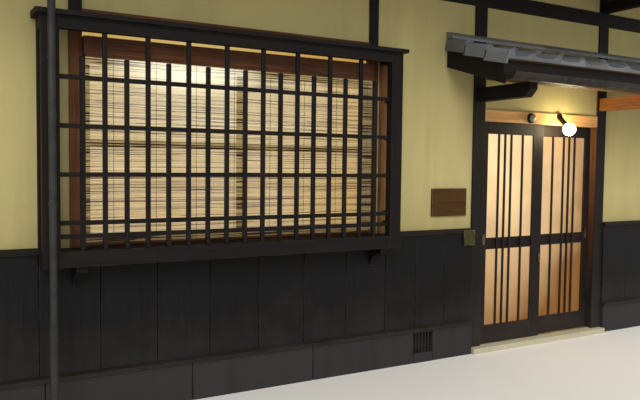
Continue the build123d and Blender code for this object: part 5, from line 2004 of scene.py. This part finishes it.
@dataclass
class Gutters:
    """Half-round gutters on their hooks, and the downspout."""

    radius: float = 0.055
    hook_pitch: float = 0.6
    hook_margin: float = 0.15
    hook_turn: float = 112.0  # how far round the trough the arm reaches, in degrees
    hook_parts: int = 8
    play: float = 0.0005  # between the trough and the arm
    strap: float = 0.018
    thick: float = 0.003

    def build(self) -> None:
        """Builds the hooks and dresses the gutters and the pipe."""
        hooks = Sketch()
        for node, sides in (("canopy_gutter", (-1,)), ("eave_gutters", (-1, 1)), ("roof_gutters", (-1, 1))):
            low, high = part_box(node)
            for side in sides:
                outer = -low.y if side < 0 else high.y
                for x in evenly(low.x + self.hook_margin, high.x - self.hook_margin, self.hook_pitch):
                    self.hook(hooks, x, side, outer, high.z)
        hooks.piece("gutter_hooks", (GUTTER_METAL,))
        dress(GUTTER_METAL, "canopy_gutter", "eave_gutters", "roof_gutters")
        dress(PIPE_METAL, "downspout", "pipe_clips")

    def hook(self, hooks: Sketch, x: float, side: int, outer: float, rim: float) -> None:
        """A strap over the rim and an arm under the trough, on the fascia's side.

        Args:
            hooks: where they go.
            x: the hook's place along the gutter.
            side: -1 on the street, 1 at the back.
            outer: how far the gutter's outer edge is from the middle of the house.
            rim: the height of its rim.
        """
        middle = outer - self.radius
        half = self.strap / 2
        reach = sorted((side * outer, side * (outer - 2 * self.radius)))
        corner, end = (x - half, reach[0], rim), (x + half, reach[1], rim + self.thick)
        hooks.block(corner, end, chamfer=0.0008)
        inner, shell = self.radius + self.play, self.radius + self.play + self.thick
        sections = []
        for i in range(self.hook_parts + 1):
            turn = math.radians(self.hook_turn) * i / self.hook_parts
            section = []
            for across, reach_out in ((-half, inner), (half, inner), (half, shell), (-half, shell)):
                away = middle - reach_out * math.cos(turn)
                section.append(Vector((x + across, side * away, rim - reach_out * math.sin(turn))))
            sections.append(section)
        hooks.loft(sections)


@dataclass
class Fittings:
    """Name board, plate and the lamps over the entrance."""

    globe: float = 0.052
    lean: float = 45.0  # degrees that the globe's neck points down
    neck: float = 0.0245
    dome: float = 0.041
    dome_proud: float = 0.032
    dome_base: float = 0.014
    ring: float = 0.004
    ring_lap: float = 0.001  # how far the ring holds the glass
    steps: int = 48
    globe_parts: int = 20
    dome_parts: int = 12

    def build(self) -> None:
        """Builds the lamps' glass and dresses the boards and the holders."""
        dress(NAME_BOARD, "name_boards")
        dress(LAMP_METAL, "lamp_holders")
        low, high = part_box("lamp_globes")
        glass = Sketch()
        self.globe_lamp(glass, (high.x - self.globe, low.y + self.globe, low.z + self.globe))
        self.dome_lamp(glass, (low.x + self.dome, FRONT - self.dome_base, high.z - self.dome))
        glass.piece("lamp_glasses", (LAMP_GLASS, LAMP_METAL), ("lamp_globes",))

    def globe_lamp(self, glass: Sketch, place: Sequence[float]) -> None:
        """An opal globe that is flat where its neck holds it.

        Args:
            glass: where it goes.
            place: its middle.
        """
        turned = Matrix.Translation(place) @ Matrix.Rotation(math.radians(90 + self.lean), 4, "X")
        start = -math.acos(self.neck / self.globe)
        parts = self.globe_parts
        turns = [start + (math.pi / 2 - start) * i / parts for i in range(parts + 1)]
        profile = [(self.globe * math.cos(turn), self.globe * math.sin(turn)) for turn in turns]
        glass.lathe(profile, turned, self.steps)

    def dome_lamp(self, glass: Sketch, place: Sequence[float]) -> None:
        """A bull's-eye of thick glass in a metal ring.

        Args:
            glass: where it goes.
            place: the middle of its foot.
        """
        turned = Matrix.Translation(place) @ Matrix.Rotation(math.radians(90), 4, "X")
        inner = self.dome - 2 * self.ring
        profile = [(0.0, 0.0), (inner, 0.0)]
        for i in range(1, self.dome_parts + 1):
            turn = math.pi / 2 * i / self.dome_parts
            profile.append((inner * math.cos(turn), self.dome_proud * math.sin(turn)))
        glass.lathe(profile, turned, self.steps)
        bore, step = inner - self.ring_lap, self.ring * 2
        rim = [(bore, 0.0), (self.dome, 0.0), (self.dome, step), (self.dome - self.ring, self.ring * 3)]
        glass.lathe([*rim, (bore, step), (bore, 0.0)], turned, self.steps, coat=1)


def main() -> None:
    """Builds the house's looks in order, from the studio up to the roof."""
    logging.basicConfig(level=logging.INFO, format="%(message)s")
    kinds = (
        Studio, StoneBase, TimberFrame, Walls, Dado, LatticeWindow, Entrance, Roofs, Gutters, Fittings
    )
    for kind in kinds:
        log.info("building %s", kind.__name__)
        kind().build()
    bpy.context.scene.view_settings.view_transform = "Standard"


if __name__ == "__main__":
    main()
